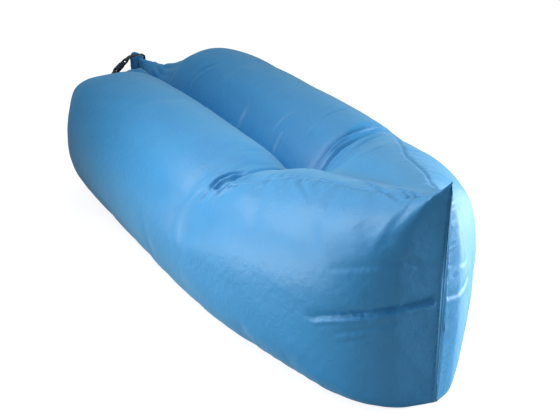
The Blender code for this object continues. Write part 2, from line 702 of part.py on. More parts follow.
def buckle_female_body(parent, collection, helpers):
    """The buckle's socket: a hollow body with side windows for the latch arms and a bar for the webbing."""
    body_end = BUCKLE_BAR_U - BUCKLE_BAR_RADIUS - BUCKLE_SLOT_LENGTH + 2 * BUCKLE_BAR_RADIUS
    waist = BUCKLE_HALF_WIDTH - BUCKLE_WALL
    outline = rounded_outline([
        (BUCKLE_PARTING_U, -waist), (BUCKLE_PARTING_U + BUCKLE_END_WALL, -BUCKLE_HALF_WIDTH),
        (body_end - BUCKLE_END_WALL, -BUCKLE_HALF_WIDTH), (BUCKLE_HALF_LENGTH, -waist),
        (BUCKLE_HALF_LENGTH, waist), (body_end - BUCKLE_END_WALL, BUCKLE_HALF_WIDTH),
        (BUCKLE_PARTING_U + BUCKLE_END_WALL, BUCKLE_HALF_WIDTH), (BUCKLE_PARTING_U, waist),
    ], BUCKLE_EDGE_ROUND)
    mesh = extruded("buckle_female_body", outline, -BUCKLE_HALF_HEIGHT, BUCKLE_HALF_HEIGHT)
    obj = add_object("buckle_female_body", mesh, "plastic", collection, parent)
    rounding = obj.modifiers.new("edges", "BEVEL")
    rounding.width = BUCKLE_EDGE_ROUND
    rounding.segments = 2
    rounding.limit_method = "ANGLE"
    rounding.angle_limit = math.radians(60)

    inner_v = BUCKLE_HALF_WIDTH - BUCKLE_SIDE_WALL
    inner_n = BUCKLE_HALF_HEIGHT - BUCKLE_WALL
    cavity_end = ARM_ROOT_U + ARM_REACH + BUCKLE_WALL
    cavity_start = BUCKLE_PARTING_U - CUT_OVERRUN
    cavity = block("cavity", (cavity_start, -inner_v, -inner_n), (cavity_end, inner_v, inner_n))
    cut_or_join(obj, cavity, "DIFFERENCE", helpers)

    window_start = ARM_ROOT_U + ARM_BARB_START - WINDOW_CLEARANCE
    window_end = ARM_ROOT_U + ARM_REACH + WINDOW_CLEARANCE
    windows = block("windows", (window_start, -BUCKLE_HALF_WIDTH - CUT_OVERRUN, -inner_n),
                    (window_end, BUCKLE_HALF_WIDTH + CUT_OVERRUN, inner_n))
    cut_or_join(obj, windows, "DIFFERENCE", helpers)

    slot_start = BUCKLE_BAR_U - BUCKLE_BAR_RADIUS - BUCKLE_SLOT_LENGTH
    slot = block("slot", (slot_start, -BUCKLE_SLOT_HALF_WIDTH, -BUCKLE_HALF_HEIGHT - CUT_OVERRUN),
                 (BUCKLE_HALF_LENGTH + CUT_OVERRUN, BUCKLE_SLOT_HALF_WIDTH, BUCKLE_HALF_HEIGHT + CUT_OVERRUN))
    cut_or_join(obj, slot, "DIFFERENCE", helpers)
    cut_or_join(obj, round_bar("socket_bar", BUCKLE_BAR_U), "UNION", helpers)
    cut_or_join(obj, curved_slot(), "DIFFERENCE", helpers)
    cut_or_join(obj, thumb_oval(), "UNION", helpers)
    return obj


def curved_slot():
    """Cutter for the arched sight slot through the top wall near the parting line."""
    half = CURVED_SLOT_WIDTH / 2
    centre = BUCKLE_PARTING_U + CURVED_SLOT_RADIUS + BUCKLE_END_WALL
    angles = spread(math.radians(115), math.radians(245), 9)
    outer, inner = CURVED_SLOT_RADIUS + half, CURVED_SLOT_RADIUS - half
    ring = [(centre + outer * math.cos(a), outer * math.sin(a)) for a in angles]
    ring += [(centre + inner * math.cos(a), inner * math.sin(a)) for a in reversed(angles)]
    low = BUCKLE_HALF_HEIGHT - BUCKLE_WALL - BUCKLE_WALL / 4
    return extruded("curved_slot", ring, low, BUCKLE_HALF_HEIGHT + CUT_OVERRUN)


def thumb_oval():
    """The raised pad on the socket's face."""
    bm = bmesh.new()
    bmesh.ops.create_uvsphere(bm, u_segments=16, v_segments=8, radius=1.0)
    rise = THUMB_OVAL_HEIGHT + BUCKLE_WALL / 4
    bmesh.ops.scale(bm, vec=(THUMB_OVAL_LENGTH / 2, THUMB_OVAL_WIDTH / 2, rise), verts=bm.verts)
    centre_u = ARM_ROOT_U + ARM_BARB_START + THUMB_OVAL_LENGTH / 4
    bmesh.ops.translate(bm, vec=(centre_u, 0, BUCKLE_HALF_HEIGHT - BUCKLE_WALL / 4), verts=bm.verts)
    return mesh_from(bm, "thumb_oval")


def buckle_male_frame(parent, collection, helpers):
    """The buckle's plug: a frame with a bar for the webbing and a guide that enters the socket."""
    waist = BUCKLE_HALF_WIDTH - BUCKLE_WALL
    shoulder = BUCKLE_PARTING_U - MOULDING_CLEARANCE
    outline = rounded_outline([
        (-BUCKLE_HALF_LENGTH, -waist), (shoulder, -waist), (shoulder, waist), (-BUCKLE_HALF_LENGTH, waist),
    ], BUCKLE_EDGE_ROUND)
    mesh = extruded("buckle_male_frame", outline, -FRAME_HALF_HEIGHT, FRAME_HALF_HEIGHT)
    obj = add_object("buckle_male_frame", mesh, "plastic", collection, parent)
    slot_end = -BUCKLE_BAR_U + BUCKLE_BAR_RADIUS + BUCKLE_SLOT_LENGTH
    slot_height = FRAME_HALF_HEIGHT + CUT_OVERRUN
    slot = block("slot", (-BUCKLE_HALF_LENGTH - CUT_OVERRUN, -BUCKLE_SLOT_HALF_WIDTH, -slot_height),
                 (slot_end, BUCKLE_SLOT_HALF_WIDTH, slot_height))
    cut_or_join(obj, slot, "DIFFERENCE", helpers)
    cut_or_join(obj, round_bar("plug_bar", -BUCKLE_BAR_U), "UNION", helpers)
    guide = block("guide", (shoulder - CUT_OVERRUN, -GUIDE_HALF_WIDTH, -GUIDE_HALF_HEIGHT),
                  (shoulder + GUIDE_REACH, GUIDE_HALF_WIDTH, GUIDE_HALF_HEIGHT))
    cut_or_join(obj, guide, "UNION", helpers)
    return obj


def latch_arm(name, way, parent, collection):
    """One springy arm of the plug, with a barb that catches behind its window."""
    inner = ARM_ROOT_V
    beam = ARM_ROOT_V + ARM_BEAM_WIDTH
    tip = ARM_REACH
    outline = [
        (0.0, inner), (tip, inner + ARM_BEAM_WIDTH / 4), (tip, beam),
        (tip - ARM_BEAM_WIDTH / 2, ARM_BARB_OUT - ARM_BEAM_WIDTH / 2),
        (tip - 2 * ARM_BEAM_WIDTH, ARM_BARB_OUT), (ARM_BARB_START + ARM_BEAM_WIDTH / 4, ARM_BARB_OUT),
        (ARM_BARB_START, ARM_BARB_OUT - ARM_BEAM_WIDTH / 4), (ARM_BARB_START, beam), (0.0, beam),
    ]
    pivot = Vector((ARM_ROOT_U, way * (inner + beam) / 2, 0))
    points = [(u, way * (v - (inner + beam) / 2)) for u, v in outline]
    mesh = extruded(name, points, -ARM_HALF_HEIGHT, ARM_HALF_HEIGHT)
    obj = add_object(name, mesh, "plastic", collection, parent)
    obj.location = pivot
    rounding = obj.modifiers.new("edges", "BEVEL")
    rounding.width = ARM_BEAM_WIDTH / 6
    rounding.segments = 1
    rounding.limit_method = "ANGLE"
    rounding.angle_limit = math.radians(50)
    return obj


def rounded_path(points, radius, segments=4):
    """A path in the YZ plane with each inner corner turned into an arc of about that radius."""
    made = [Vector(points[0])]
    for before, here, after in zip(points, points[1:], points[2:]):
        here = Vector(here)
        back, ahead = Vector(before) - here, Vector(after) - here
        reach = min(radius, back.length / 2, ahead.length / 2)
        start, end = here + back.normalized() * reach, here + ahead.normalized() * reach
        for t in spread(0, 1, segments):
            made.append(start.lerp(here, t).lerp(here.lerp(end, t), t))
    made.append(Vector(points[-1]))
    return made


def webbing(name, way, flank_y, top_z, collection):
    """A webbing strap: up the roll's outer flank, over its end, round the buckle's bar and back beneath.

    way is -1 for the strap on the plug and +1 for the one on the socket. flank_y is the roll's centre there.
    """
    frame = buckle_frame()
    outside = 1 if way < 0 else -1
    half = WEBBING_THICKNESS / 2
    flank = flank_y + outside * (ROLL_RADIUS + TOUCH_GAP + half)
    over = top_z + TOUCH_GAP + half
    wrap = BUCKLE_BAR_RADIUS + TOUCH_GAP + half

    def local(u, n):
        point = frame @ Vector((u, 0, n))
        return (point.y, point.z)

    corner = (flank_y - outside * ROLL_RADIUS, over)
    hairpin = []
    for angle in spread(math.pi / 2, -math.pi / 2, 7):
        hairpin.append(local(way * (BUCKLE_BAR_U - wrap * math.cos(angle)), wrap * math.sin(angle)))
    beyond = BUCKLE_BAR_U + 2 * BUCKLE_BAR_RADIUS
    end = BUCKLE_BAR_U + WEBBING_TAIL_LENGTH
    run = [local(way * end, half + TOUCH_GAP), local(way * beyond, wrap)]
    tail = [local(way * beyond, -wrap), local(way * end, -half - TOUCH_GAP)]
    lead = [(flank, top_z - WEBBING_FLANK_LENGTH), (flank, over), corner, run[0], run[1]]
    path = rounded_path(lead, WEBBING_BEND_RADIUS) + [Vector(point) for point in hairpin + tail]
    rows = [[Vector((ROLL_X + edge * WEBBING_WIDTH / 2, y, z)) for edge in (-1, 1)] for y, z in path]
    mesh = grid_mesh(name, rows, rows[0][0] + Vector((0, outside, 0)))
    obj = add_object(name, mesh, "webbing", collection)
    thicken(obj, WEBBING_THICKNESS, 0)
    return obj


def clear_scene():
    """Removes the startup objects."""
    for obj in list(bpy.data.objects):
        bpy.data.objects.remove(obj, do_unlink=True)


def new_collection(name):
    """A collection in the scene."""
    made = bpy.data.collections.new(name)
    bpy.context.scene.collection.children.link(made)
    return made


def main():
    """Builds the lounger."""
    clear_scene()
    parts = new_collection("air_lounger")
    helpers = new_collection("cutters")

    leg_cover("near_leg_cover", NEAR, parts)
    leg_cover("far_leg_cover", FAR, parts)
    headrest_panel(parts)
    air_liner("near_air_liner", NEAR, parts)
    air_liner("far_air_liner", FAR, parts)
    valley_seam_tape(parts)
    under_seam_tape(parts)
    stem_seam_binding(parts)

    neck_piece("neck_cover", 0.0, COVER_THICKNESS, "ripstop", parts)
    neck_piece("neck_liner", COVER_THICKNESS + NECK_LINER_CLEARANCE, NECK_LINER_THICKNESS, "liner", parts)
    rolled_mouth(parts)
    hem_stiffener("near_hem_stiffener", -STIFFENER_SPACING, parts)
    hem_stiffener("far_hem_stiffener", STIFFENER_SPACING, parts)

    buckle_axis = bpy.data.objects.new("buckle_axis", None)
    parts.objects.link(buckle_axis)
    buckle_axis.matrix_world = buckle_frame()
    buckle_male_frame(buckle_axis, parts, helpers)
    latch_arm("head_side_latch_arm", 1, buckle_axis, parts)
    latch_arm("foot_side_latch_arm", -1, buckle_axis, parts)
    buckle_female_body(buckle_axis, parts, helpers)
    webbing("far_webbing", -1, ARM_FAR_Y, ARM_FAR_TOP_Z, parts)
    webbing("near_webbing", 1, ARM_NEAR_Y, ARM_NEAR_TOP_Z, parts)


main()
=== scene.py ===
"""Looks of an inflatable air lounger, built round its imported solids.

The lounger is two air-filled legs side by side that meet in a raised head. A rolled mouth at the foot is held shut
by a side-release buckle on two webbing straps.

Frame: +X runs from foot to head, -Y is the near leg, +Z is up, and the floor is z = 0. Lengths are in metres.
"""

from __future__ import annotations

import json
import logging
import math
from dataclasses import dataclass, field
from enum import Enum
from functools import cached_property
from typing import NamedTuple

import bpy
import numpy as np
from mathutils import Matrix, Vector
from mathutils.bvhtree import BVHTree

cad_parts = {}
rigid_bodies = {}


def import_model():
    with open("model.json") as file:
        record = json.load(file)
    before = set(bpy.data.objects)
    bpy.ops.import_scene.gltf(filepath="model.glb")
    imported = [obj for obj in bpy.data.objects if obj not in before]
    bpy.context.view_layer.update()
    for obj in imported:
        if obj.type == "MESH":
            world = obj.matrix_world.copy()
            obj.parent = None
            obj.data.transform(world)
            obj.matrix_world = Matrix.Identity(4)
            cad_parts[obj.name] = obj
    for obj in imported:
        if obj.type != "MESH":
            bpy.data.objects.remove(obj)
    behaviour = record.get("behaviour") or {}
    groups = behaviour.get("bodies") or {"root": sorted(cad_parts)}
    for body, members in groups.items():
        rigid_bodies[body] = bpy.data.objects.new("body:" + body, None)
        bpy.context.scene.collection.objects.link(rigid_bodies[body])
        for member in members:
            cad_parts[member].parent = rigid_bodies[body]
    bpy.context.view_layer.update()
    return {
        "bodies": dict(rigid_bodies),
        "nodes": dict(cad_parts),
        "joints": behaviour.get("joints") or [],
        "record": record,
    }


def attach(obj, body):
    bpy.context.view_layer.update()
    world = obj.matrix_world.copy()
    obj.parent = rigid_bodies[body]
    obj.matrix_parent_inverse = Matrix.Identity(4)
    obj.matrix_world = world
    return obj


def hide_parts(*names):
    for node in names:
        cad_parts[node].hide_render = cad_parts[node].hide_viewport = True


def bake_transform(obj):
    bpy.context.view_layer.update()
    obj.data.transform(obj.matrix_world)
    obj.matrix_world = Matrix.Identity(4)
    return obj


LOG = logging.getLogger("air_lounger")
MM = 0.001
WHITE = "#FFFFFF"


class Side(Enum):
    """The two legs. The value is the way each lies from the centre plane."""

    NEAR = -1
    FAR = 1


class Body(Enum):
    """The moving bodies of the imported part."""

    LOUNGER = "lounger"
    SOCKET = "buckle_socket"
    HEAD_LATCH = "head_side_latch"
    FOOT_LATCH = "foot_side_latch"


# Numbers and arrays


def smooth_step(value: np.ndarray, low: float, high: float) -> np.ndarray:
    """Climbs from 0 at low to 1 at high with flat ends."""
    t = np.clip((value - low) / (high - low), 0.0, 1.0)
    return t * t * (3 - 2 * t)


def smooth_curve(places: np.ndarray, knots: tuple, values: tuple) -> np.ndarray:
    """A curve through knots that never overshoots them.

    Args:
        places: Where the curve is wanted.
        knots: Rising places of the known values.
        values: The known values.

    Returns:
        The curve's value at each place.
    """
    knots, values = np.asarray(knots, float), np.asarray(values, float)
    slopes = np.diff(values) / np.diff(knots)
    before, after = slopes[:-1], slopes[1:]
    same_way = before * after > 0
    inner = np.where(same_way, 2 * before * after / np.where(same_way, before + after, 1.0), 0.0)
    tangents = np.concatenate([slopes[:1], inner, slopes[-1:]])
    x = np.clip(places, knots[0], knots[-1])
    i = np.clip(np.searchsorted(knots, x, side="right") - 1, 0, len(knots) - 2)
    step = knots[i + 1] - knots[i]
    t = (x - knots[i]) / step
    start = (1 + 2 * t) * (1 - t) ** 2 * values[i] + t * (1 - t) ** 2 * step * tangents[i]
    return start + t * t * (3 - 2 * t) * values[i + 1] + t * t * (t - 1) * step * tangents[i + 1]


def blurred(values: np.ndarray, sigma: float, axis: int = 0) -> np.ndarray:
    """Values smoothed along one axis with a Gaussian of sigma steps, ends held."""
    reach = int(math.ceil(3 * sigma))
    weights = np.exp(-0.5 * (np.arange(-reach, reach + 1) / sigma) ** 2)
    weights /= weights.sum()
    pad = [(0, 0)] * values.ndim
    pad[axis] = (reach, reach)
    padded = np.pad(values, pad, mode="edge")
    count = values.shape[axis]
    total = np.zeros_like(values)
    for k, weight in enumerate(weights):
        total += weight * np.take(padded, np.arange(k, k + count), axis=axis)
    return total


def arc_lengths(points: np.ndarray) -> np.ndarray:
    """Distances along a path from its first point to each of its points."""
    return np.concatenate([[0.0], np.cumsum(np.linalg.norm(np.diff(points, axis=0), axis=1))])


def resampled(points: np.ndarray, count: int) -> np.ndarray:
    """A path's points set out again at even distances."""
    along = arc_lengths(points)
    wanted = np.linspace(0.0, along[-1], count)
    return np.stack([np.interp(wanted, along, points[:, k]) for k in range(points.shape[1])], axis=1)


def unit(vectors: np.ndarray) -> np.ndarray:
    """Vectors made one long."""
    return vectors / np.maximum(np.linalg.norm(vectors, axis=-1, keepdims=True), 1e-12)


def waves(phase: np.ndarray, seed: int, count: int = 3) -> np.ndarray:
    """An uneven wave in -1..1 whose main period is 1, with rounded crests and sharper valleys."""
    random = np.random.default_rng(seed)
    drift = np.zeros_like(phase)
    for k in range(count):
        drift += 0.45 * np.sin(2 * math.pi * (phase * random.uniform(0.12, 0.45) + random.uniform()))
    crests = 2 * np.abs(np.sin(math.pi * (phase + drift))) ** 0.8 - 1
    swell = 0.62 + 0.38 * np.sin(2 * math.pi * (phase * random.uniform(0.09, 0.22) + random.uniform()))
    return crests * swell


# Meshes


def grid_faces(rows: int, columns: int, closed: bool) -> np.ndarray:
    """Four-sided faces that join a grid's neighbouring points."""
    across = columns if closed else columns - 1
    i, j = np.meshgrid(np.arange(rows - 1), np.arange(across), indexing="ij")
    k = (j + 1) % columns
    faces = np.stack([i * columns + j, i * columns + k, (i + 1) * columns + k, (i + 1) * columns + j], axis=-1)
    return faces.reshape(-1, 4)


def add_object(name: str, data: bpy.types.ID) -> bpy.types.Object:
    """A new object of some data, linked to the scene."""
    obj = bpy.data.objects.new(name, data)
    bpy.context.scene.collection.objects.link(obj)
    return obj


def make_object(name: str, points: np.ndarray, faces: list, material: bpy.types.Material,
                uv: np.ndarray | None = None) -> bpy.types.Object:
    """A smooth-shaded mesh object at the origin.

    Args:
        name: The piece's name.
        points: Its vertices.
        faces: Lists of vertex indices.
        material: Its finish.
        uv: One (u, v) pair for each vertex.

    Returns:
        The object, linked to the scene.
    """
    mesh = bpy.data.meshes.new(name)
    mesh.from_pydata(points.tolist(), [], faces)
    mesh.materials.append(material)
    if uv is not None:
        layer = mesh.uv_layers.new(name="weave")
        corners = np.empty(len(mesh.loops), np.int32)
        mesh.loops.foreach_get("vertex_index", corners)
        layer.data.foreach_set("uv", uv[corners].astype(np.float32).ravel())
    mesh.shade_smooth()
    mesh.validate()
    return add_object(name, mesh)


def enclosed_volume(points: np.ndarray, faces: list) -> float:
    """Signed volume inside closed faces, positive where they point outwards."""
    triangles = np.array([(f[0], f[k], f[k + 1]) for f in faces for k in range(1, len(f) - 1)])
    a, b, c = (points[triangles[:, k]] for k in range(3))
    return float(np.einsum("ij,ij->i", a, np.cross(b, c)).sum() / 6)


def outward_faces(points: np.ndarray, faces: list) -> list:
    """Closed faces, all turned round if they point inwards."""
    return [face[::-1] for face in faces] if enclosed_volume(points, faces) < 0 else faces


def closed_tube(name: str, rows: np.ndarray, material: bpy.types.Material) -> bpy.types.Object:
    """A closed solid from rings of points, with a fan over each end.

    Args:
        name: The piece's name.
        rows: Rings of points, as an array of ring, place and coordinate.
        material: Its finish.

    Returns:
        The object, with its faces outwards.
    """
    count, columns = rows.shape[:2]
    ends = np.stack([rows[0].mean(axis=0), rows[-1].mean(axis=0)])
    points = np.concatenate([rows.reshape(-1, 3), ends])
    faces = grid_faces(count, columns, closed=True).tolist()
    first, last, base = count * columns, count * columns + 1, (count - 1) * columns
    for j in range(columns):
        k = (j + 1) % columns
        faces.append([first, k, j])
        faces.append([last, base + j, base + k])
    return make_object(name, points, outward_faces(points, faces), material)


def closed_band(name: str, rows: np.ndarray, material: bpy.types.Material,
                uv: np.ndarray | None = None) -> bpy.types.Object:
    """A closed band from rings that run along its upper side and back along its lower side.

    Args:
        name: The piece's name.
        rows: Rings of an even number of points, as an array of ring, place and coordinate.
        material: Its finish.
        uv: One (u, v) pair for each point, in the same order.

    Returns:
        The object, with its faces outwards and its ends closed by strips between the two sides.
    """
    count, columns = rows.shape[:2]
    points = rows.reshape(-1, 3)
    faces = grid_faces(count, columns, closed=True).tolist()
    base = (count - 1) * columns
    for j in range(columns // 2 - 1):
        k = columns - 1 - j
        faces.append([k, k - 1, j + 1, j])
        faces.append([base + j, base + j + 1, base + k - 1, base + k])
    return make_object(name, points, outward_faces(points, faces), material, uv)


def grid_normals(rows: np.ndarray, closed: bool) -> np.ndarray:
    """Unit normals of a grid of points, by differences between neighbours."""
    down = np.gradient(rows, axis=0)
    if closed:
        across = np.roll(rows, -1, axis=1) - np.roll(rows, 1, axis=1)
    else:
        across = np.gradient(rows, axis=1)
    return unit(np.cross(down, across))


def outward_normals(rings: np.ndarray, closed: bool) -> np.ndarray:
    """Unit normals of rings round the x axis, on their outer side."""
    normals = grid_normals(rings, closed)
    from_middle = rings - rings.mean(axis=1, keepdims=True)
    return normals if (from_middle * normals)[..., 1:].sum() >= 0 else -normals


def upward_normals(rows: np.ndarray) -> np.ndarray:
    """Unit normals of an open grid, on its upper side."""
    normals = grid_normals(rows, closed=False)
    return normals if normals[..., 2].sum() >= 0 else -normals


def weave_uv(across: np.ndarray, along: np.ndarray) -> np.ndarray:
    """UV pairs in metres for a band's points, from the places across it and along it."""
    shape = (len(along), len(across))
    return np.stack([np.broadcast_to(across, shape), np.broadcast_to(along[:, None], shape)], axis=-1).reshape(-1, 2)


# Colour and shader nodes


def linear(hex_colour: str) -> tuple[float, float, float, float]:
    """An sRGB hex colour as linear RGBA."""
    parts = [int(hex_colour[k:k + 2], 16) / 255 for k in (1, 3, 5)]
    red, green, blue = (c / 12.92 if c <= 0.04045 else ((c + 0.055) / 1.055) ** 2.4 for c in parts)
    return red, green, blue, 1.0


def set_inputs(node: bpy.types.Node, values: dict) -> None:
    """Sets a node's unlinked inputs, by name or index."""
    for socket, value in values.items():
        node.inputs[socket].default_value = value


def add_node(tree: bpy.types.NodeTree, kind: str, settings: dict | None = None, values: dict | None = None,
             links: dict | None = None) -> bpy.types.Node:
    """Adds a node to a tree.

    Args:
        tree: A shader or geometry tree.
        kind: The node's type name.
        settings: Its properties.
        values: Unlinked inputs, by name or index.
        links: Inputs and the outputs that feed them.

    Returns:
        The node.
    """
    node = tree.nodes.new(kind)
    for name, value in (settings or {}).items():
        setattr(node, name, value)
    set_inputs(node, values or {})
    for socket, source in (links or {}).items():
        tree.links.new(source, node.inputs[socket])
    return node


@dataclass(frozen=True)
class Finish:
    """A material made once and shared by every piece that has it."""

    name: str
    colour: str
    roughness: float
    specular: float = 0.5

    def material(self) -> bpy.types.Material:
        """The finish's material, made the first time it is asked for."""
        found = bpy.data.materials.get(self.name)
        if found:
            return found
        made = bpy.data.materials.new(self.name)
        made.use_nodes = True
        tree = made.node_tree
        shader = tree.nodes["Principled BSDF"]
        set_inputs(shader, {"Base Color": linear(self.colour), "Roughness": self.roughness,
                            "Specular IOR Level": self.specular})
        self.dress(tree, shader)
        return made

    def dress(self, tree: bpy.types.NodeTree, shader: bpy.types.Node) -> None:
        """Adds the finish's own pattern to its shader."""
        raise NotImplementedError


@dataclass(frozen=True)
class RipstopTaffeta(Finish):
    """Calendered polyester taffeta: saturated blue in shade, with a painted sheen that mixes its colour towards a soft
    white-cyan where the surface is seen edge-on.

    The real weave is 0.1 mm and can't show, so what is drawn is the crinkle that packing left in it, at 24 mm and
    7 mm, and a thread texture at 1.6 mm.
    """

    shade_colour: str = "#0084C4"
    painted_sheen_colour: str = "#97D0E6"
    painted_sheen_share: float = 0.28
    crinkle: float = 24 * MM
    fine_crinkle: float = 7 * MM
    thread: float = 1.6 * MM
    crinkle_height: float = 0.42 * MM
    fine_crinkle_height: float = 0.42 * MM
    thread_height: float = 0.05 * MM
    ior: float = 1.62
    specular_tint: str = "#F0F4EE"
    sheen: float = 0.1
    sheen_roughness: float = 0.4
    sheen_tint: str = "#E4F6F8"

    def dress(self, tree: bpy.types.NodeTree, shader: bpy.types.Node) -> None:
        """Colour that drifts a little, sharp-edged crinkles, the thread, and a painted sheen."""
        place = add_node(tree, "ShaderNodeTexCoord").outputs["Object"]
        patches = add_node(tree, "ShaderNodeTexNoise", values={"Scale": 0.35 / self.crinkle, "Detail": 3.0},
                           links={"Vector": place})
        tone = add_node(tree, "ShaderNodeMapRange", values={"From Min": 0.35, "From Max": 0.65, "To Max": 0.35},
                        links={"Value": patches.outputs["Fac"]})
        mixed = add_node(tree, "ShaderNodeMix", {"data_type": "RGBA"},
                         {6: linear(self.colour), 7: linear(self.shade_colour)}, {0: tone.outputs["Result"]})
        wander = add_node(tree, "ShaderNodeTexNoise", values={"Scale": 0.7 / self.crinkle, "Detail": 4.0},
                          links={"Vector": place})
        shifted = add_node(tree, "ShaderNodeMix", {"data_type": "VECTOR"}, {0: 0.022},
                           {4: place, 5: wander.outputs["Color"]})
        facets = add_node(tree, "ShaderNodeTexVoronoi", {"feature": "DISTANCE_TO_EDGE"}, {"Scale": 1 / self.crinkle},
                          {"Vector": shifted.outputs[1]})
        broad = add_node(tree, "ShaderNodeMapRange", {"interpolation_type": "SMOOTHSTEP"}, {"From Max": 0.5},
                         {"Value": facets.outputs["Distance"]})
        bump = add_node(tree, "ShaderNodeBump", values={"Distance": self.crinkle_height},
                        links={"Height": broad.outputs["Result"]})
        folds = add_node(tree, "ShaderNodeTexNoise",
                         {"noise_type": "RIDGED_MULTIFRACTAL"},
                         {"Scale": 1 / self.fine_crinkle, "Detail": 2.0, "Roughness": 0.5},
                         {"Vector": shifted.outputs[1]})
        small = add_node(tree, "ShaderNodeBump", values={"Distance": self.fine_crinkle_height},
                         links={"Height": folds.outputs["Fac"], "Normal": bump.outputs["Normal"]})
        threads = add_node(tree, "ShaderNodeTexNoise", values={"Scale": 1 / self.thread, "Detail": 1.0},
                           links={"Vector": place})
        fine = add_node(tree, "ShaderNodeBump", values={"Distance": self.thread_height},
                        links={"Height": threads.outputs["Fac"], "Normal": small.outputs["Normal"]})
        tree.links.new(fine.outputs["Normal"], shader.inputs["Normal"])

        # Painted sheen: the base colour is mixed towards the pale sheen colour as the surface turns edge-on to the
        # view, whatever the light.
        facing = add_node(tree, "ShaderNodeLayerWeight", values={"Blend": 0.5},
                          links={"Normal": fine.outputs["Normal"]})
        painted_sheen_share = add_node(tree, "ShaderNodeMapRange", {"interpolation_type": "SMOOTHSTEP"},
                         {"From Min": 0.4, "From Max": 0.95, "To Max": self.painted_sheen_share},
                         {"Value": facing.outputs["Facing"]})
        painted_sheen_mix = add_node(tree, "ShaderNodeMix", {"data_type": "RGBA"}, {7: linear(self.painted_sheen_colour)},
                         {0: painted_sheen_share.outputs["Result"], 6: mixed.outputs[2]})
        tree.links.new(painted_sheen_mix.outputs[2], shader.inputs["Base Color"])
        set_inputs(shader, {"IOR": self.ior, "Specular Tint": linear(self.specular_tint), "Sheen Weight": self.sheen,
                            "Sheen Roughness": self.sheen_roughness, "Sheen Tint": linear(self.sheen_tint)})


@dataclass(frozen=True)
class PolyesterWebbing(Finish):
    """Woven polyester webbing: matt, with cross ribs 1.8 mm apart and a tighter edge on each side."""

    rib_pitch: float = 1.8 * MM
    warp_pitch: float = 2.1 * MM
    rib_height: float = 0.30 * MM
    groove_shade_colour: str = "#1C1B20"
    sheen: float = 0.2

    def dress(self, tree: bpy.types.NodeTree, shader: bpy.types.Node) -> None:
        """Ribs across the strap and lengthwise warp columns, from the strap's own UV map in metres, with painted shade
        darkening the grooves.
        """
        place = add_node(tree, "ShaderNodeUVMap", {"uv_map": "weave"}).outputs["UV"]
        parts = add_node(tree, "ShaderNodeSeparateXYZ", links={"Vector": place})
        rib_phase = add_node(tree, "ShaderNodeMath", {"operation": "MULTIPLY"},
                             {1: 2 * math.pi / self.rib_pitch}, {0: parts.outputs["Y"]})
        rib = add_node(tree, "ShaderNodeMath", {"operation": "SINE"}, links={0: rib_phase.outputs[0]})
        warp_phase = add_node(tree, "ShaderNodeMath", {"operation": "MULTIPLY"},
                              {1: 2 * math.pi / self.warp_pitch}, {0: parts.outputs["X"]})
        warp = add_node(tree, "ShaderNodeMath", {"operation": "SINE"}, links={0: warp_phase.outputs[0]})
        both = add_node(tree, "ShaderNodeMath", {"operation": "MULTIPLY_ADD"}, {1: 0.45},
                        {0: warp.outputs[0], 2: rib.outputs[0]})
        bump = add_node(tree, "ShaderNodeBump", values={"Distance": self.rib_height},
                        links={"Height": both.outputs[0]})
        tree.links.new(bump.outputs["Normal"], shader.inputs["Normal"])
        # Painted shade: the colour darkens to the groove shade colour where the weave is lowest, in the grooves
        # between ribs and warp columns.
        tone = add_node(tree, "ShaderNodeMapRange", values={"From Min": -1.45, "From Max": 1.45},
                        links={"Value": both.outputs[0]})
        groove_shade_mix = add_node(tree, "ShaderNodeMix", {"data_type": "RGBA"},
                        {6: linear(self.groove_shade_colour), 7: linear(self.colour)}, {0: tone.outputs["Result"]})
        tree.links.new(groove_shade_mix.outputs[2], shader.inputs["Base Color"])
        set_inputs(shader, {"Sheen Weight": self.sheen})


@dataclass(frozen=True)
class MouldedAcetal(Finish):
    """Injection-moulded acetal: dark, semi-gloss, with a fine spark-eroded grain."""

    grain: float = 0.7 * MM
    grain_height: float = 0.03 * MM

    def dress(self, tree: bpy.types.NodeTree, shader: bpy.types.Node) -> None:
        """Fine grain in the surface and in the gloss."""
        place = add_node(tree, "ShaderNodeTexCoord").outputs["Object"]
        grain = add_node(tree, "ShaderNodeTexNoise", values={"Scale": 1 / self.grain, "Detail": 2.0},
                         links={"Vector": place})
        bump = add_node(tree, "ShaderNodeBump", values={"Distance": self.grain_height},
                        links={"Height": grain.outputs["Fac"]})
        tree.links.new(bump.outputs["Normal"], shader.inputs["Normal"])
        gloss = add_node(tree, "ShaderNodeMapRange",
                         values={"To Min": self.roughness - 0.05, "To Max": self.roughness + 0.08},
                         links={"Value": grain.outputs["Fac"]})
        tree.links.new(gloss.outputs["Result"], shader.inputs["Roughness"])


@dataclass(frozen=True)
class AirtightFilm(Finish):
    """Blown polyethylene film: milky, with a soft gloss and shallow wrinkles."""

    wrinkle: float = 22 * MM
    wrinkle_height: float = 0.8 * MM
    cloud_colour: str = "#EDF3F5"

    def dress(self, tree: bpy.types.NodeTree, shader: bpy.types.Node) -> None:
        """Shallow wrinkles and a faint cloudiness."""
        place = add_node(tree, "ShaderNodeTexCoord").outputs["Object"]
        wrinkles = add_node(tree, "ShaderNodeTexNoise",
                            values={"Scale": 1 / self.wrinkle, "Detail": 3.0, "Distortion": 1.2},
                            links={"Vector": place})
        bump = add_node(tree, "ShaderNodeBump", values={"Distance": self.wrinkle_height},
                        links={"Height": wrinkles.outputs["Fac"]})
        tree.links.new(bump.outputs["Normal"], shader.inputs["Normal"])
        cloud = add_node(tree, "ShaderNodeMix", {"data_type": "RGBA"},
                         {6: linear(self.colour), 7: linear(self.cloud_colour)}, {0: wrinkles.outputs["Fac"]})
        tree.links.new(cloud.outputs[2], shader.inputs["Base Color"])


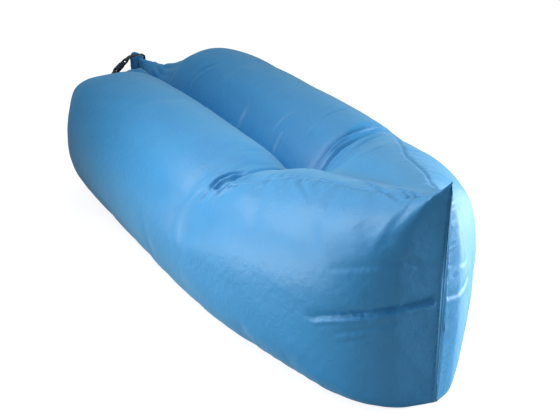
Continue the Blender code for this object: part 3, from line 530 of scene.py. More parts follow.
@dataclass(frozen=True)
class SpunThread(Finish):
    """Spun polyester thread: soft gloss, with the ply's twist."""

    twist: float = 0.9 * MM
    twist_height: float = 0.08 * MM

    def dress(self, tree: bpy.types.NodeTree, shader: bpy.types.Node) -> None:
        """Slanting plies."""
        place = add_node(tree, "ShaderNodeTexCoord").outputs["Object"]
        plies = add_node(tree, "ShaderNodeTexWave", {"bands_direction": "DIAGONAL"}, {"Scale": 0.3 / self.twist},
                         {"Vector": place})
        bump = add_node(tree, "ShaderNodeBump", values={"Distance": self.twist_height},
                        links={"Height": plies.outputs["Fac"]})
        tree.links.new(bump.outputs["Normal"], shader.inputs["Normal"])


TAFFETA = RipstopTaffeta("calendered_ripstop_taffeta", "#0090D0", 0.56, 1.0)
WEBBING = PolyesterWebbing("ribbed_polyester_webbing", "#4A464D", 0.75, 0.35)
ACETAL = MouldedAcetal("moulded_black_acetal", "#3A363C", 0.40, 0.5)
FILM = AirtightFilm("polyethylene_film", "#D6E0E4", 0.32, 0.5)
THREAD = SpunThread("blue_polyester_thread", "#2C86BE", 0.6, 0.4)
STRIP = MouldedAcetal("moulded_stiffening_strip", "#C6C7C0", 0.45, 0.5)


# The air-filled form


class Station(NamedTuple):
    """A cross-section of one leg, with sizes as shares of the leg's. Squareness is a superellipse exponent."""

    along: float
    width: float
    split: float
    top: float
    lift: float
    low_square: float
    high_square: float


FOOT_STATIONS = {
    Side.NEAR: (
        Station(1.00, 0.23, 0.60, 0.75, 0.115, 2.0, 2.0),
        Station(0.82, 0.25, 0.62, 0.72, 0.120, 2.0, 2.0),
        Station(0.72, 0.33, 0.72, 0.71, 0.110, 2.0, 2.0),
        Station(0.67, 0.49, 0.86, 0.74, 0.060, 2.6, 3.2),
        Station(0.58, 0.70, 0.92, 0.785, 0.005, 3.4, 6.0),
        Station(0.48, 0.80, 0.93, 0.845, -0.012, 3.4, 6.0),
        Station(0.30, 0.895, 0.94, 0.915, -0.023, 2.6, 3.4),
        Station(0.00, 0.977, 0.94, 0.973, -0.031, 2.2, 2.2),
    ),
    Side.FAR: (
        Station(1.00, 0.23, 0.60, 0.75, 0.115, 2.0, 2.0),
        Station(0.92, 0.50, 0.86, 0.77, 0.040, 2.3, 2.0),
        Station(0.82, 0.68, 0.92, 0.82, -0.004, 2.6, 2.0),
        Station(0.64, 0.81, 0.93, 0.89, -0.010, 2.6, 2.0),
        Station(0.40, 0.895, 0.94, 0.96, -0.023, 2.4, 2.0),
        Station(0.00, 0.942, 0.94, 0.983, -0.031, 2.2, 2.0),
    ),
}
HEAD_STATIONS = {
    Side.NEAR: (
        Station(0.000, 0.962, 0.815, 0.000, -0.031, 2.5, 2.0),
        Station(0.279, 0.880, 0.62, 0.146, -0.027, 3.0, 2.0),
        Station(0.640, 0.710, 0.36, 0.392, -0.023, 3.6, 2.0),
        Station(0.820, 0.570, 0.15, 0.577, -0.019, 4.6, 2.1),
        Station(0.923, 0.425, 0.06, 0.706, -0.011, 5.5, 2.1),
        Station(0.974, 0.290, 0.02, 0.841, -0.006, 6.0, 2.2),
        Station(1.000, 0.010, 0.00, 1.000, 0.0, 4.6, 2.5),
    ),
    Side.FAR: (
        Station(0.000, 0.942, 0.815, -0.029, -0.031, 2.2, 2.0),
        Station(0.279, 0.865, 0.62, 0.132, -0.027, 2.4, 2.0),
        Station(0.640, 0.625, 0.36, 0.425, -0.023, 3.2, 2.0),
        Station(0.820, 0.388, 0.15, 0.586, -0.019, 5.5, 1.75),
        Station(0.923, 0.238, 0.06, 0.720, -0.011, 8.0, 1.60),
        Station(0.974, 0.142, 0.02, 0.841, -0.006, 8.0, 1.70),
        Station(1.000, 0.010, 0.00, 1.000, 0.0, 8.0, 2.0),
    ),
}
PANEL_EDGE_SHARES = ((0.0, 0.2, 0.45, 0.75, 1.0), (1.0, 0.45, 0.12, 0.16, 0.34))
DRIFT_SHARES = ((0.0, 0.279, 0.640, 0.820, 0.923, 1.0), (0.0, 0.25, 0.62, 0.88, 1.0, 1.0))


@dataclass(frozen=True)
class AirForm:
    """The smooth shape of the two inflated legs and of the head where they meet."""

    half_width: float = 0.452
    height: float = 0.454
    peak: float = 0.609
    leg_length: float = 0.907
    head_length: float = 0.676
    foot_length: float = 0.348
    seam_end_x: float = 0.387
    head_drift: float = -0.035
    foot_lean: float = 0.060
    foot_flattening: float = 0.022
    centre_gap: float = 0.0012
    panel_front_angle: float = math.radians(35)
    sample_step: float = 0.002
    softening: float = 0.016
    floor_softening: float = 0.004
    seam_bend: float = 0.22
    waist_reach: tuple[float, float] = (0.11, 0.09)
    waists: dict = field(default_factory=lambda: {
        Side.NEAR: (0.036, (-90.0, -50.0, -15.0, 15.0, 45.0, 80.0), (1.0, 1.0, 0.85, 0.5, 0.2, 0.0)),
        Side.FAR: (0.016, (-90.0, -50.0, -15.0, 30.0, 60.0, 90.0), (1.0, 1.0, 0.75, 0.5, 0.2, 0.0)),
    })

    @property
    def shoulder_x(self) -> float:
        """Where the foot end begins."""
        return self.seam_end_x - self.leg_length

    @property
    def neck_x(self) -> float:
        """Where the legs' fabric gathers into the neck."""
        return self.shoulder_x - self.foot_length

    @property
    def stem_x(self) -> float:
        """The upright seam at the head's end."""
        return self.seam_end_x + self.head_length

    def stations(self, side: Side) -> list[tuple[float, Station]]:
        """All stations of a leg as (x, station), from foot to head, with shares of the leg's height."""
        climb = self.peak / self.height - 1
        head = [s._replace(top=1 + s.top * climb) for s in HEAD_STATIONS[side]]
        foot = FOOT_STATIONS[side]
        full = head[0]._replace(width=foot[-1].width, split=foot[-1].split, low_square=foot[-1].low_square)
        full = full._replace(width=min(1.0, full.width / 0.977))
        rows = [(self.shoulder_x - s.along * self.foot_length, s) for s in foot]
        rows.append((self.shoulder_x + self.leg_length / 3, full))
        rows.append((self.seam_end_x - self.leg_length / 4, full))
        return rows + [(self.seam_end_x + s.along * self.head_length, s) for s in head]

    def table(self, side: Side) -> tuple[np.ndarray, dict[str, np.ndarray]]:
        """Station values at close places along a leg, with the joins between stations softened."""
        rows = self.stations(side)
        knots = tuple(x for x, _ in rows)
        places = np.arange(self.neck_x, self.stem_x + self.sample_step / 2, self.sample_step)
        keep_sharp = smooth_step(places, self.stem_x - 0.10, self.stem_x - 0.03)
        keep_sharp = np.maximum(keep_sharp, smooth_step(-places, -self.neck_x - 0.05, -self.neck_x))
        values = {}
        for name in Station._fields[1:]:
            raw = smooth_curve(places, knots, tuple(getattr(s, name) for _, s in rows))
            soft = blurred(raw, self.softening / self.sample_step)
            values[name] = raw * keep_sharp + soft * (1 - keep_sharp)
        return places, values

    def sections(self, side: Side, x: np.ndarray) -> dict[str, np.ndarray]:
        """Sizes of the cross-sections at x, in metres."""
        places, table = _table(self, side)
        found = {name: np.interp(x, places, values) for name, values in table.items()}
        breadth = found["width"] * self.half_width / (1 + found["split"])
        top, lift = found["top"] * self.height, found["lift"] * self.height
        return {
            "breadth": breadth,
            "centre_y": found["split"] * breadth,
            "half_height": (top - lift) / 2,
            "centre_z": (top + lift) / 2,
            "low_square": found["low_square"],
            "high_square": found["high_square"],
            "split": found["split"],
        }

    def drift(self, x: np.ndarray) -> np.ndarray:
        """How far the head's centre line has moved sideways."""
        return self.head_drift * smooth_curve((x - self.seam_end_x) / self.head_length, *DRIFT_SHARES)

    def lean(self, x: np.ndarray, z: np.ndarray) -> np.ndarray:
        """How far the foot end leans back at its top and is drawn in at half height."""
        along = np.clip((self.shoulder_x - x) / self.foot_length, 0.0, 1.0)
        height = z / self.height
        drawn_in = self.foot_flattening * 4 * height * (1 - height)
        return np.sin(math.pi * along) ** 2 * (drawn_in - self.foot_lean * (height - 0.5))

    def polar_point(self, side: Side, x: np.ndarray, angle: np.ndarray) -> np.ndarray:
        """Points of a leg's surface.

        Args:
            side: The leg.
            x: Places along it.
            angle: Direction from the lobe's centre, from straight up towards the outer side.

        Returns:
            The points, with one more axis than x.
        """
        size = self.sections(side, x)
        sine, cosine = np.sin(angle), np.cos(angle)
        power = np.where(sine < 0, 2.0, np.where(cosine < 0, size["low_square"], size["high_square"]))
        scale = (np.abs(cosine) / size["half_height"]) ** power + (np.abs(sine) / size["breadth"]) ** power
        reach = scale ** (-1 / power)
        y = np.maximum(size["centre_y"] + reach * sine, self.centre_gap)
        z = size["centre_z"] + reach * cosine
        z = (z + np.sqrt(z * z + self.floor_softening ** 2)) / 2
        return np.stack([x + self.lean(x, z), self.drift(x) + side.value * y, z], axis=-1)

    def polar_of(self, side: Side, x: np.ndarray, turn: np.ndarray) -> np.ndarray:
        """The polar angle of a superellipse turn, which is how the solids count angles."""
        size = self.sections(side, x)
        sine, cosine = np.sin(turn), np.cos(turn)
        power = np.where(sine < 0, 1.0, 2 / np.where(cosine < 0, size["low_square"], size["high_square"]))
        y = size["breadth"] * np.sign(sine) * np.abs(sine) ** power
        z = size["half_height"] * np.sign(cosine) * np.abs(cosine) ** power
        return np.arctan2(y, z)

    def valley_angle(self, side: Side, x: np.ndarray) -> np.ndarray:
        """Polar angle at which a lobe meets the centre plane at the top, as a negative angle."""
        size = self.sections(side, x)
        rise = size["half_height"] * np.sqrt(np.maximum(1 - size["split"] ** 2, 0.0))
        return -np.arctan2(size["centre_y"], rise)

    def edge_angle(self, side: Side, x: np.ndarray) -> np.ndarray:
        """Polar angle of the headrest's edge."""
        along = np.maximum((x - self.seam_end_x) / self.head_length, 0.0)
        return self.polar_of(side, x, self.panel_front_angle * smooth_curve(along, *PANEL_EDGE_SHARES))

    def seam_shift(self, side: Side, x: np.ndarray, angle: np.ndarray) -> np.ndarray:
        """How far the headrest's front seam bends along the leg, fading out away from it."""
        fade = np.exp(-((x - self.seam_end_x) / self.seam_bend) ** 2)
        turn = np.degrees(angle)
        if side is Side.NEAR:
            shift = 0.045 * smooth_step(turn, -35.0, 15.0) * (1 - 0.6 * smooth_step(turn, 20.0, 60.0))
        else:
            shift = -0.018 * smooth_step(turn, -60.0, -20.0) - 0.055 * smooth_step(turn, -20.0, 40.0)
            shift = shift * (1 - smooth_step(turn, 50.0, 110.0))
        return shift * fade

    def waist(self, side: Side, x: np.ndarray, angle: np.ndarray) -> np.ndarray:
        """How far the headrest's front seam draws the leg in, towards the leg's own middle."""
        turn = np.degrees(angle)
        deepest, knots, shares = self.waists[side]
        reach = np.where(x < self.seam_end_x, self.waist_reach[0], self.waist_reach[1])
        fade = np.exp(-((x - self.seam_end_x) / reach) ** 2)
        return deepest * smooth_curve(turn, knots, shares) * fade

    def place(self, side: Side, x: np.ndarray, angle: np.ndarray) -> np.ndarray:
        """Points of the surface with the front seam's bend and waist."""
        shifted = x + self.seam_shift(side, x, angle)
        points = self.polar_point(side, shifted, angle)
        size = self.sections(side, shifted)
        inward = np.stack([np.zeros_like(angle), self.drift(shifted) + side.value * size["centre_y"] - points[..., 1],
                           size["centre_z"] - points[..., 2]], axis=-1)
        return points + unit(inward) * self.waist(side, x, angle)[..., None]

    def row_places(self, first_x: float, last_x: float, count: int) -> np.ndarray:
        """Places along the leg at even distances over its surface."""
        dense = np.linspace(first_x, last_x, 6000)
        size = self.sections(Side.NEAR, dense)
        outer = size["centre_y"] + size["breadth"]
        top = size["centre_z"] + size["half_height"]
        path = np.stack([dense, outer, top / 2], axis=1)
        return resampled(path, count)[:, 0]

    def ring_angles(self, side: Side, x: np.ndarray, valley: int, outer: int) -> np.ndarray:
        """Polar angles round a lobe at even distances, with one column along the headrest's edge.

        Args:
            side: The leg.
            x: Places of the rings.
            valley: Columns from the centre plane to the headrest's edge.
            outer: Columns from there round to the centre plane underneath.

        Returns:
            An array of ring and column.
        """
        angles = np.empty((len(x), valley + outer + 1))
        starts, edges = self.valley_angle(side, x), self.edge_angle(side, x)
        shares = np.linspace(0.0, 1.0, 361)
        for i, (place, start, edge) in enumerate(zip(x, starts, edges)):
            parts = []
            for low, high, count in ((start, edge, valley), (edge, math.pi - start, outer)):
                dense = low + (high - low) * shares
                points = self.polar_point(side, np.full(len(dense), place), dense)
                steps = np.linalg.norm(np.diff(points[:, 1:], axis=0), axis=1)
                along = np.concatenate([[0.0], np.cumsum(steps + 1e-9)])
                parts.append(np.interp(np.linspace(0.0, along[-1], count + 1), along, dense))
            angles[i] = np.concatenate([parts[0][:-1], parts[1]])
        return angles


_TABLES: dict = {}


def _table(form: AirForm, side: Side) -> tuple[np.ndarray, dict[str, np.ndarray]]:
    """The form's table for a side, worked out once."""
    if side not in _TABLES:
        _TABLES[side] = form.table(side)
    return _TABLES[side]


# Relief: what the sewing and the slack do to the smooth form


class Measure(NamedTuple):
    """Where points lie from a track: which of them are near, how far, how far along, and on which side."""

    near: np.ndarray
    distance: np.ndarray
    along: np.ndarray
    across: np.ndarray
    share: np.ndarray


@dataclass
class Track:
    """A line drawn on the fabric."""

    points: np.ndarray

    def __post_init__(self) -> None:
        """Works out distances along the track."""
        self.lengths = arc_lengths(self.points)
        self.tangents = unit(np.gradient(self.points, axis=0))

    def measure(self, positions: np.ndarray, normals: np.ndarray, reach: float) -> Measure:
        """Measures points from the track.

        Args:
            positions: Points on the fabric.
            normals: Their outward normals.
            reach: How far the track matters.

        Returns:
            The measures of the points within reach.
        """
        low, high = self.points.min(axis=0) - reach, self.points.max(axis=0) + reach
        near = np.flatnonzero(((positions > low) & (positions < high)).all(axis=1))
        if not len(near):
            empty = np.zeros(0)
            return Measure(near, empty, empty, empty, empty)
        best = np.full(len(near), np.inf)
        index = np.zeros(len(near), int)
        for k, point in enumerate(self.points):
            distance = ((positions[near] - point) ** 2).sum(axis=1)
            closer = distance < best
            best[closer], index[closer] = distance[closer], k
        offset = positions[near] - self.points[index]
        tangent = self.tangents[index]
        slip = (offset * tangent).sum(axis=1)
        distance = np.sqrt(np.maximum(best - slip ** 2, 0.0))
        end = (index == 0) | (index == len(self.points) - 1)
        distance = np.where(end, np.sqrt(best), distance)
        across = (np.cross(tangent, normals[near]) * offset).sum(axis=1)
        keep = distance < reach
        along = self.lengths[index] + np.clip(slip, -0.01, 0.01)
        share = along / self.lengths[-1]
        return Measure(near[keep], distance[keep], along[keep], across[keep], share[keep])


@dataclass(frozen=True)
class Crease:
    """A pressed fold: a sharp valley with a raised lip on each side, ragged like real fabric."""

    side: Side
    path: tuple
    depth: float
    width: float
    lip_left: float = 0.4
    lip_right: float = 0.4
    steep_left: float = 1.0
    steep_right: float = 1.0
    taper: float = 0.5
    runs_out: bool = True
    wobble: float = 1.8 * MM
    wobble_length: float = 34 * MM

    def track(self, form: AirForm) -> Track:
        """The crease's line on the smooth form, from (x, polar angle in degrees) pairs."""
        x = np.array([p[0] for p in self.path])
        turn = np.radians([p[1] for p in self.path])
        share = np.linspace(0.0, 1.0, len(x))
        dense = np.linspace(0.0, 1.0, 90)
        x, turn = smooth_curve(dense, share, x), smooth_curve(dense, share, turn)
        x, turn = blurred(x, 4.0), blurred(turn, 4.0)
        return Track(form.place(self.side, x, turn))

    def lift(self, form: AirForm, positions: np.ndarray, normals: np.ndarray) -> np.ndarray:
        """How far each point moves along its normal."""
        found = self.track(form).measure(positions, normals, 5 * self.width)
        lift = np.zeros(len(positions))
        if not len(found.near):
            return lift
        share = np.clip(found.share, 0.0, 1.0)
        last = 0.998 if self.runs_out else 0.5
        fade = np.sin(math.pi * np.clip(share, 0.002, last)) ** self.taper
        ends = np.exp(-(np.maximum(found.distance - np.abs(found.across), 0.0) / self.width) ** 2)
        seed = round(abs(self.path[0][0]) * 1000)
        ragged = waves(found.along / self.wobble_length, seed)
        offset = np.sign(found.across) * found.distance + self.wobble * ragged
        left = offset > 0
        u = np.abs(offset) / (self.width * np.where(left, self.steep_left, self.steep_right))
        lip = np.where(left, self.lip_left, self.lip_right)
        shape = lip * np.exp(-((u - 1.7) / 1.1) ** 2) - np.exp(-u ** 1.25)
        uneven = 0.78 + 0.22 * waves(found.along / (1.7 * self.wobble_length), seed + 1)
        lift[found.near] = self.depth * shape * fade * ends * uneven
        return lift


@dataclass(frozen=True)
class SewnSeam:
    """A seam: a shallow groove that the fabric puckers into from one or both sides."""

    track: Track
    groove: float
    groove_width: float
    pucker: float
    pucker_length: float
    reach: float
    seed: int

    def lift(self, positions: np.ndarray, normals: np.ndarray) -> np.ndarray:
        """How far each point moves along its normal."""
        found = self.track.measure(positions, normals, 4 * self.reach)
        lift = np.zeros(len(positions))
        if not len(found.near):
            return lift
        groove = -self.groove * np.exp(-(found.distance / self.groove_width) ** 2)
        left = found.across > 0
        phase = found.along / self.pucker_length
        wave = np.where(left, waves(phase, self.seed), waves(phase + 0.3, self.seed + 1))
        held = 1 - np.exp(-(found.distance / self.groove_width) ** 2)
        grow = np.exp(-(found.distance / self.reach) ** 1.3)
        lift[found.near] = groove + self.pucker * wave * held * grow
        return lift


@dataclass(frozen=True)
class Undulation:
    """Broad, slack waves of the fabric, as a sum of plane waves in set directions."""

    wavelength: float
    height: float
    seed: int
    count: int = 9
    along_share: float = 0.5

    def lift(self, positions: np.ndarray) -> np.ndarray:
        """How far each point moves along its normal."""
        random = np.random.default_rng(self.seed)
        lift = np.zeros(len(positions))
        for _ in range(self.count):
            direction = random.normal(size=3) * np.array([self.along_share, 1.0, 1.0])
            direction *= 2 * math.pi / (self.wavelength * random.uniform(0.7, 1.5) * np.linalg.norm(direction))
            lift += np.sin(positions @ direction + random.uniform(0, 2 * math.pi))
        return self.height * lift / math.sqrt(self.count)


CREASES = (
    # The prow's long fold, where the head was packed flat
    Crease(Side.NEAR, ((0.89, 95.5), (0.931, 93.2), (0.97, 90.6), (1.001, 89.4), (1.022, 88.7), (1.042, 88.6),
                       (1.051, 89.6), (1.056, 92.0), (1.060, 96.0)), 15 * MM, 9 * MM, 0.45, 0.1, 0.6, 1.6, 0.4, False),
    Crease(Side.FAR, ((0.96, 83.0), (1.01, 84.0), (1.040, 87.5), (1.053, 92.0), (1.060, 97.0)),
           5 * MM, 9 * MM, 0.1, 0.3, 1.5, 0.8, 0.5, False),
    Crease(Side.NEAR, ((0.985, 86.0), (1.004, 88.0), (1.020, 91.0)), 4 * MM, 7 * MM, 0.3, 0.3),
    Crease(Side.NEAR, ((1.026, 84.5), (1.040, 87.0), (1.050, 91.0)), 4 * MM, 7 * MM, 0.3, 0.3),
    # Fainter folds above and below it
    Crease(Side.NEAR, ((0.92, 62.0), (0.965, 57.8), (1.009, 52.1), (1.041, 45.0), (1.055, 34.7)),
           3 * MM, 9 * MM, 0.35, 0.2, 0.8, 1.4, 0.5, False),
    Crease(Side.FAR, ((0.98, 60.0), (1.02, 50.0), (1.040, 40.0), (1.056, 31.0)),
           3 * MM, 9 * MM, 0.2, 0.35, 1.4, 0.8, 0.5, False),
    Crease(Side.NEAR, ((0.95, 104.0), (1.00, 101.5), (1.035, 101.5), (1.050, 104.0)), 4 * MM, 8 * MM, 0.5, 0.2),
    Crease(Side.NEAR, ((0.97, 110.0), (1.01, 108.5), (1.03, 109.0)), 3 * MM, 8 * MM, 0.5, 0.2),
    # Tucks of the near leg beside the headrest
    Crease(Side.NEAR, ((0.374, 41.0), (0.366, 33.0), (0.361, 26.0), (0.368, 20.0), (0.380, 12.0)),
           17 * MM, 8 * MM, 0.6, 0.5, 0.6, 1.2, 0.4),
    Crease(Side.NEAR, ((0.420, 42.0), (0.409, 32.0), (0.398, 25.1), (0.388, 16.0)), 13 * MM, 7 * MM, 0.6, 0.5, 0.6, 1.2),
    Crease(Side.NEAR, ((0.330, 32.0), (0.340, 22.0), (0.354, 11.0)), 6 * MM, 7 * MM, 0.5, 0.4),
    Crease(Side.NEAR, ((0.452, 36.0), (0.440, 28.0), (0.424, 19.0), (0.414, 12.0)), 6 * MM, 6 * MM, 0.5, 0.4),
    Crease(Side.NEAR, ((0.390, 52.0), (0.384, 45.0), (0.380, 38.0)), 5 * MM, 6 * MM, 0.4, 0.4),
    # Slack that hangs from the near ridge
    Crease(Side.NEAR, ((0.500, 8.0), (0.520, 15.0), (0.548, 24.0)), 4 * MM, 8 * MM),
    Crease(Side.NEAR, ((0.600, 5.0), (0.640, 11.0), (0.690, 17.0), (0.738, 22.0)), 4 * MM, 9 * MM),
    Crease(Side.NEAR, ((0.733, -14.0), (0.80, -6.0), (0.87, 2.0), (0.936, 9.1), (0.993, 13.5)), 7 * MM, 6 * MM, 0.5),
    Crease(Side.NEAR, ((0.87, -6.0), (0.91, -1.0), (0.956, 4.5), (0.993, 9.5)), 6 * MM, 5 * MM, 0.5),
    Crease(Side.NEAR, ((0.955, 1.0), (0.985, 5.0), (1.01, 8.0)), 5 * MM, 4.5 * MM, 0.5),
    # Wrinkles on the far leg's inner flank and over its top
    Crease(Side.FAR, ((-0.542, -54.0), (-0.549, -43.0), (-0.535, -31.0), (-0.50, -20.0)), 8 * MM, 8 * MM, 0.5),
    Crease(Side.FAR, ((-0.120, -64.0), (-0.123, -54.0), (-0.132, -46.0), (-0.137, -34.0)),
           11 * MM, 7 * MM, 0.6, 0.4, 0.6, 1.2),
    Crease(Side.FAR, ((0.124, -60.0), (0.118, -51.0), (0.112, -40.0)), 9 * MM, 6 * MM, 0.6, 0.4, 0.6, 1.2),
    Crease(Side.FAR, ((0.060, -44.0), (0.061, -32.0), (0.067, -20.0)), 6 * MM, 6 * MM, 0.5),
    Crease(Side.FAR, ((-0.02, -50.0), (0.004, -44.0), (0.028, -40.0)), 5 * MM, 6 * MM, 0.5),
    Crease(Side.FAR, ((0.216, -33.0), (0.202, -21.2), (0.187, -13.0), (0.172, 0.0), (0.150, 17.0)),
           6 * MM, 7 * MM, 0.5),
    Crease(Side.FAR, ((-0.36, -30.0), (-0.33, -36.0), (-0.31, -44.0)), 4 * MM, 7 * MM, 0.5),
    # The fold along the headrest's front seam over the far leg, and the slack behind it
    Crease(Side.FAR, ((0.336, -64.0), (0.348, -50.0), (0.350, -38.0), (0.353, -27.0), (0.348, -16.0), (0.347, -5.0),
                      (0.347, 8.0), (0.338, 24.0), (0.32, 38.0)), 20 * MM, 11 * MM, 0.6, 0.1, 0.55, 1.5, 0.25),
    Crease(Side.FAR, ((0.385, -60.0), (0.392, -48.0), (0.396, -36.0), (0.392, -22.0)), 6 * MM, 7 * MM, 0.5),
    Crease(Side.FAR, ((0.430, -50.0), (0.450, -40.0), (0.455, -33.0), (0.447, -25.0), (0.438, -14.0),
                      (0.427, 0.0), (0.416, 17.0)), 7 * MM, 8 * MM, 0.5, 0.4),
    Crease(Side.FAR, ((0.52, -25.0), (0.53, -14.0), (0.525, -2.0), (0.51, 10.0)), 4 * MM, 9 * MM),
)


@dataclass
class Relief:
    """Everything that the sewing and the slack add to the smooth form."""

    form: AirForm
    seams: list[SewnSeam] = field(default_factory=list)
    slack: tuple[Undulation, ...] = (
        Undulation(0.24, 1.6 * MM, 11),
        Undulation(0.10, 0.55 * MM, 12, along_share=0.3),
        Undulation(0.045, 0.22 * MM, 13, along_share=0.4),
    )
    gather_count: int = 15
    gather_height: float = 6 * MM
    gather_start_share: float = 0.35

    def front_seam(self, side: Side) -> Track:
        """The headrest's front seam over one leg."""
        x = np.full(160, self.form.seam_end_x)
        low = self.form.valley_angle(side, x[:1])[0]
        high = self.form.edge_angle(side, x[:1])[0]
        return Track(self.form.place(side, x, np.linspace(low, high, 160)))

    def ridge_seam(self, side: Side) -> Track:
        """The headrest's side seam along one leg."""
        x = self.form.row_places(self.form.seam_end_x, self.form.stem_x, 220)
        return Track(self.form.place(side, x, self.form.edge_angle(side, x)))

    def stem_seam(self) -> Track:
        """The upright seam at the head's end."""
        heights = np.linspace(0.0, self.form.peak, 120)
        x = np.full(120, self.form.stem_x)
        return Track(np.stack([x, np.full(120, self.form.head_drift), heights], axis=1))

    def add_seams(self) -> None:
        """Sews the headrest in and closes the stem."""
        for k, side in enumerate(Side):
            self.seams += [
                SewnSeam(self.front_seam(side), 7 * MM, 8 * MM, 2.2 * MM, 38 * MM, 30 * MM, 21 + 5 * k),
                SewnSeam(self.ridge_seam(side), 2.5 * MM, 5 * MM, 2.6 * MM, 30 * MM, 24 * MM, 31 + 5 * k),
                SewnSeam(self.stem_seam(), 0.0, 5 * MM, 1.6 * MM, 46 * MM, 22 * MM, 41 + 5 * k),
            ]

    def gathers(self, side: Side, positions: np.ndarray) -> np.ndarray:
        """Radial gathers where a leg's end is drawn into the neck."""
        first = self.form.sections(side, np.array([self.form.neck_x]))
        centre_y, centre_z = side.value * first["centre_y"][0], first["centre_z"][0]
        turn = np.arctan2(positions[:, 2] - centre_z, positions[:, 1] - centre_y)
        along = (self.form.shoulder_x - positions[:, 0]) / self.form.foot_length
        grow = smooth_step(along, self.gather_start_share, 0.95) * (1 - 0.5 * smooth_step(along, 0.93, 1.0))
        wave = waves(turn / (2 * math.pi) * self.gather_count, 51 + side.value)
        return self.gather_height * grow * wave

    def lifted(self, side: Side, positions: np.ndarray, normals: np.ndarray) -> np.ndarray:
        """Points of one leg's fabric with the relief added."""
        total = self.gathers(side, positions)
        for wave in self.slack:
            total += wave.lift(positions)
        for seam in self.seams:
            total += seam.lift(positions, normals)
        for crease in CREASES:
            if crease.side is side:
                total += crease.lift(self.form, positions, normals)
        return positions + normals * total[:, None]

    def cleared(self, side: Side, positions: np.ndarray) -> np.ndarray:
        """Points kept off the floor and off the other leg."""
        form = self.form
        drift = form.drift(positions[:, 0])
        y = side.value * np.maximum(side.value * (positions[:, 1] - drift), form.centre_gap) + drift
        z = np.maximum(positions[:, 2], 0.0)
        return np.stack([positions[:, 0], y, z], axis=1)


# The cloth simulation


@dataclass(frozen=True)
class Inflation:
    """Slack fabric blown up by the air inside, held where it is sewn or lies on the floor."""

    pressure: float = 4.0
    slack: float = 0.03
    frames: int = 20
    quality: int = 5
    stiffness: float = 30.0
    bending: float = 0.02
    point_mass: float = 0.15
    most: float = 9 * MM
    broad_rows: float = 5.0
    broad_share: float = 0.85
    kept: float = 0.45

    def cloth(self, rows: np.ndarray, held: np.ndarray) -> bpy.types.Object:
        """The fabric as a coarse mesh with Blender's cloth on it."""
        count, columns = rows.shape[:2]
        mesh = bpy.data.meshes.new("inflating_fabric")
        faces = grid_faces(count, columns, closed=True).tolist()
        last = (count - 1) * columns
        faces += [list(range(columns))[::-1], list(range(last, last + columns))]
        points = rows.reshape(-1, 3)
        mesh.from_pydata(points.tolist(), [], outward_faces(points, faces))
        obj = add_object("inflating_fabric", mesh)
        group = obj.vertex_groups.new(name="held")
        for index in np.flatnonzero(held.ravel() > 0):
            group.add([int(index)], float(held.ravel()[index]), "REPLACE")
        modifier = obj.modifiers.new("cloth", "CLOTH")
        cloth = modifier.settings
        cloth.quality, cloth.mass = self.quality, self.point_mass
        cloth.tension_stiffness = cloth.compression_stiffness = self.stiffness
        cloth.shear_stiffness, cloth.bending_stiffness = self.stiffness / 3, self.bending
        cloth.vertex_group_mass = group.name
        cloth.use_pressure, cloth.uniform_pressure_force = True, self.pressure
        cloth.shrink_min = -self.slack
        cloth.effector_weights.gravity = 0.0
        modifier.collision_settings.use_collision = False
        modifier.point_cache.frame_start, modifier.point_cache.frame_end = 1, self.frames
        return obj

    def moves(self, rows: np.ndarray, held: np.ndarray) -> np.ndarray:
        """How far each point of closed rings of fabric moves when they are blown up.

        Args:
            rows: The rings' points.
            held: How firmly each is held, from 0 to 1.

        Returns:
            The moves, none longer than the most allowed, without most of the broad swelling, because the form
            is drawn full already.
        """
        obj = self.cloth(rows, held)
        scene = bpy.context.scene
        for frame in range(1, self.frames + 1):
            scene.frame_set(frame)
        shape = obj.evaluated_get(bpy.context.evaluated_depsgraph_get()).to_mesh()
        moved = np.empty(len(shape.vertices) * 3, np.float32)
        shape.vertices.foreach_get("co", moved)
        mesh = obj.data
        bpy.data.objects.remove(obj, do_unlink=True)
        bpy.data.meshes.remove(mesh)
        scene.frame_set(1)
        move = moved.reshape(rows.shape).astype(float) - rows
        length = np.linalg.norm(move, axis=-1, keepdims=True)
        LOG.info("blown up: %.1f mm at most, %.1f mm on average", length.max() / MM, length.mean() / MM)
        move = move * np.minimum(1.0, self.most / np.maximum(length, 1e-9))
        broad = blurred(blurred(move, self.broad_rows, axis=0), self.broad_rows, axis=1)
        return self.kept * (move - self.broad_share * broad) * (1 - held[..., None])


def stretched(values: np.ndarray, rows: np.ndarray, columns: np.ndarray, shape: tuple[int, int]) -> np.ndarray:
    """A coarse grid of values spread over a fine grid, given each coarse row's and column's fine index."""
    along = np.stack([np.stack([np.interp(np.arange(shape[0]), rows, values[:, j, k])
                                for j in range(values.shape[1])], axis=1) for k in range(3)], axis=-1)
    flat = np.stack([np.stack([np.interp(np.arange(shape[1]), columns, along[i, :, k])
                               for i in range(shape[0])]) for k in range(3)], axis=-1)
    return blurred(blurred(flat, 1.6, axis=0), 1.6, axis=1)


# The fabric pieces


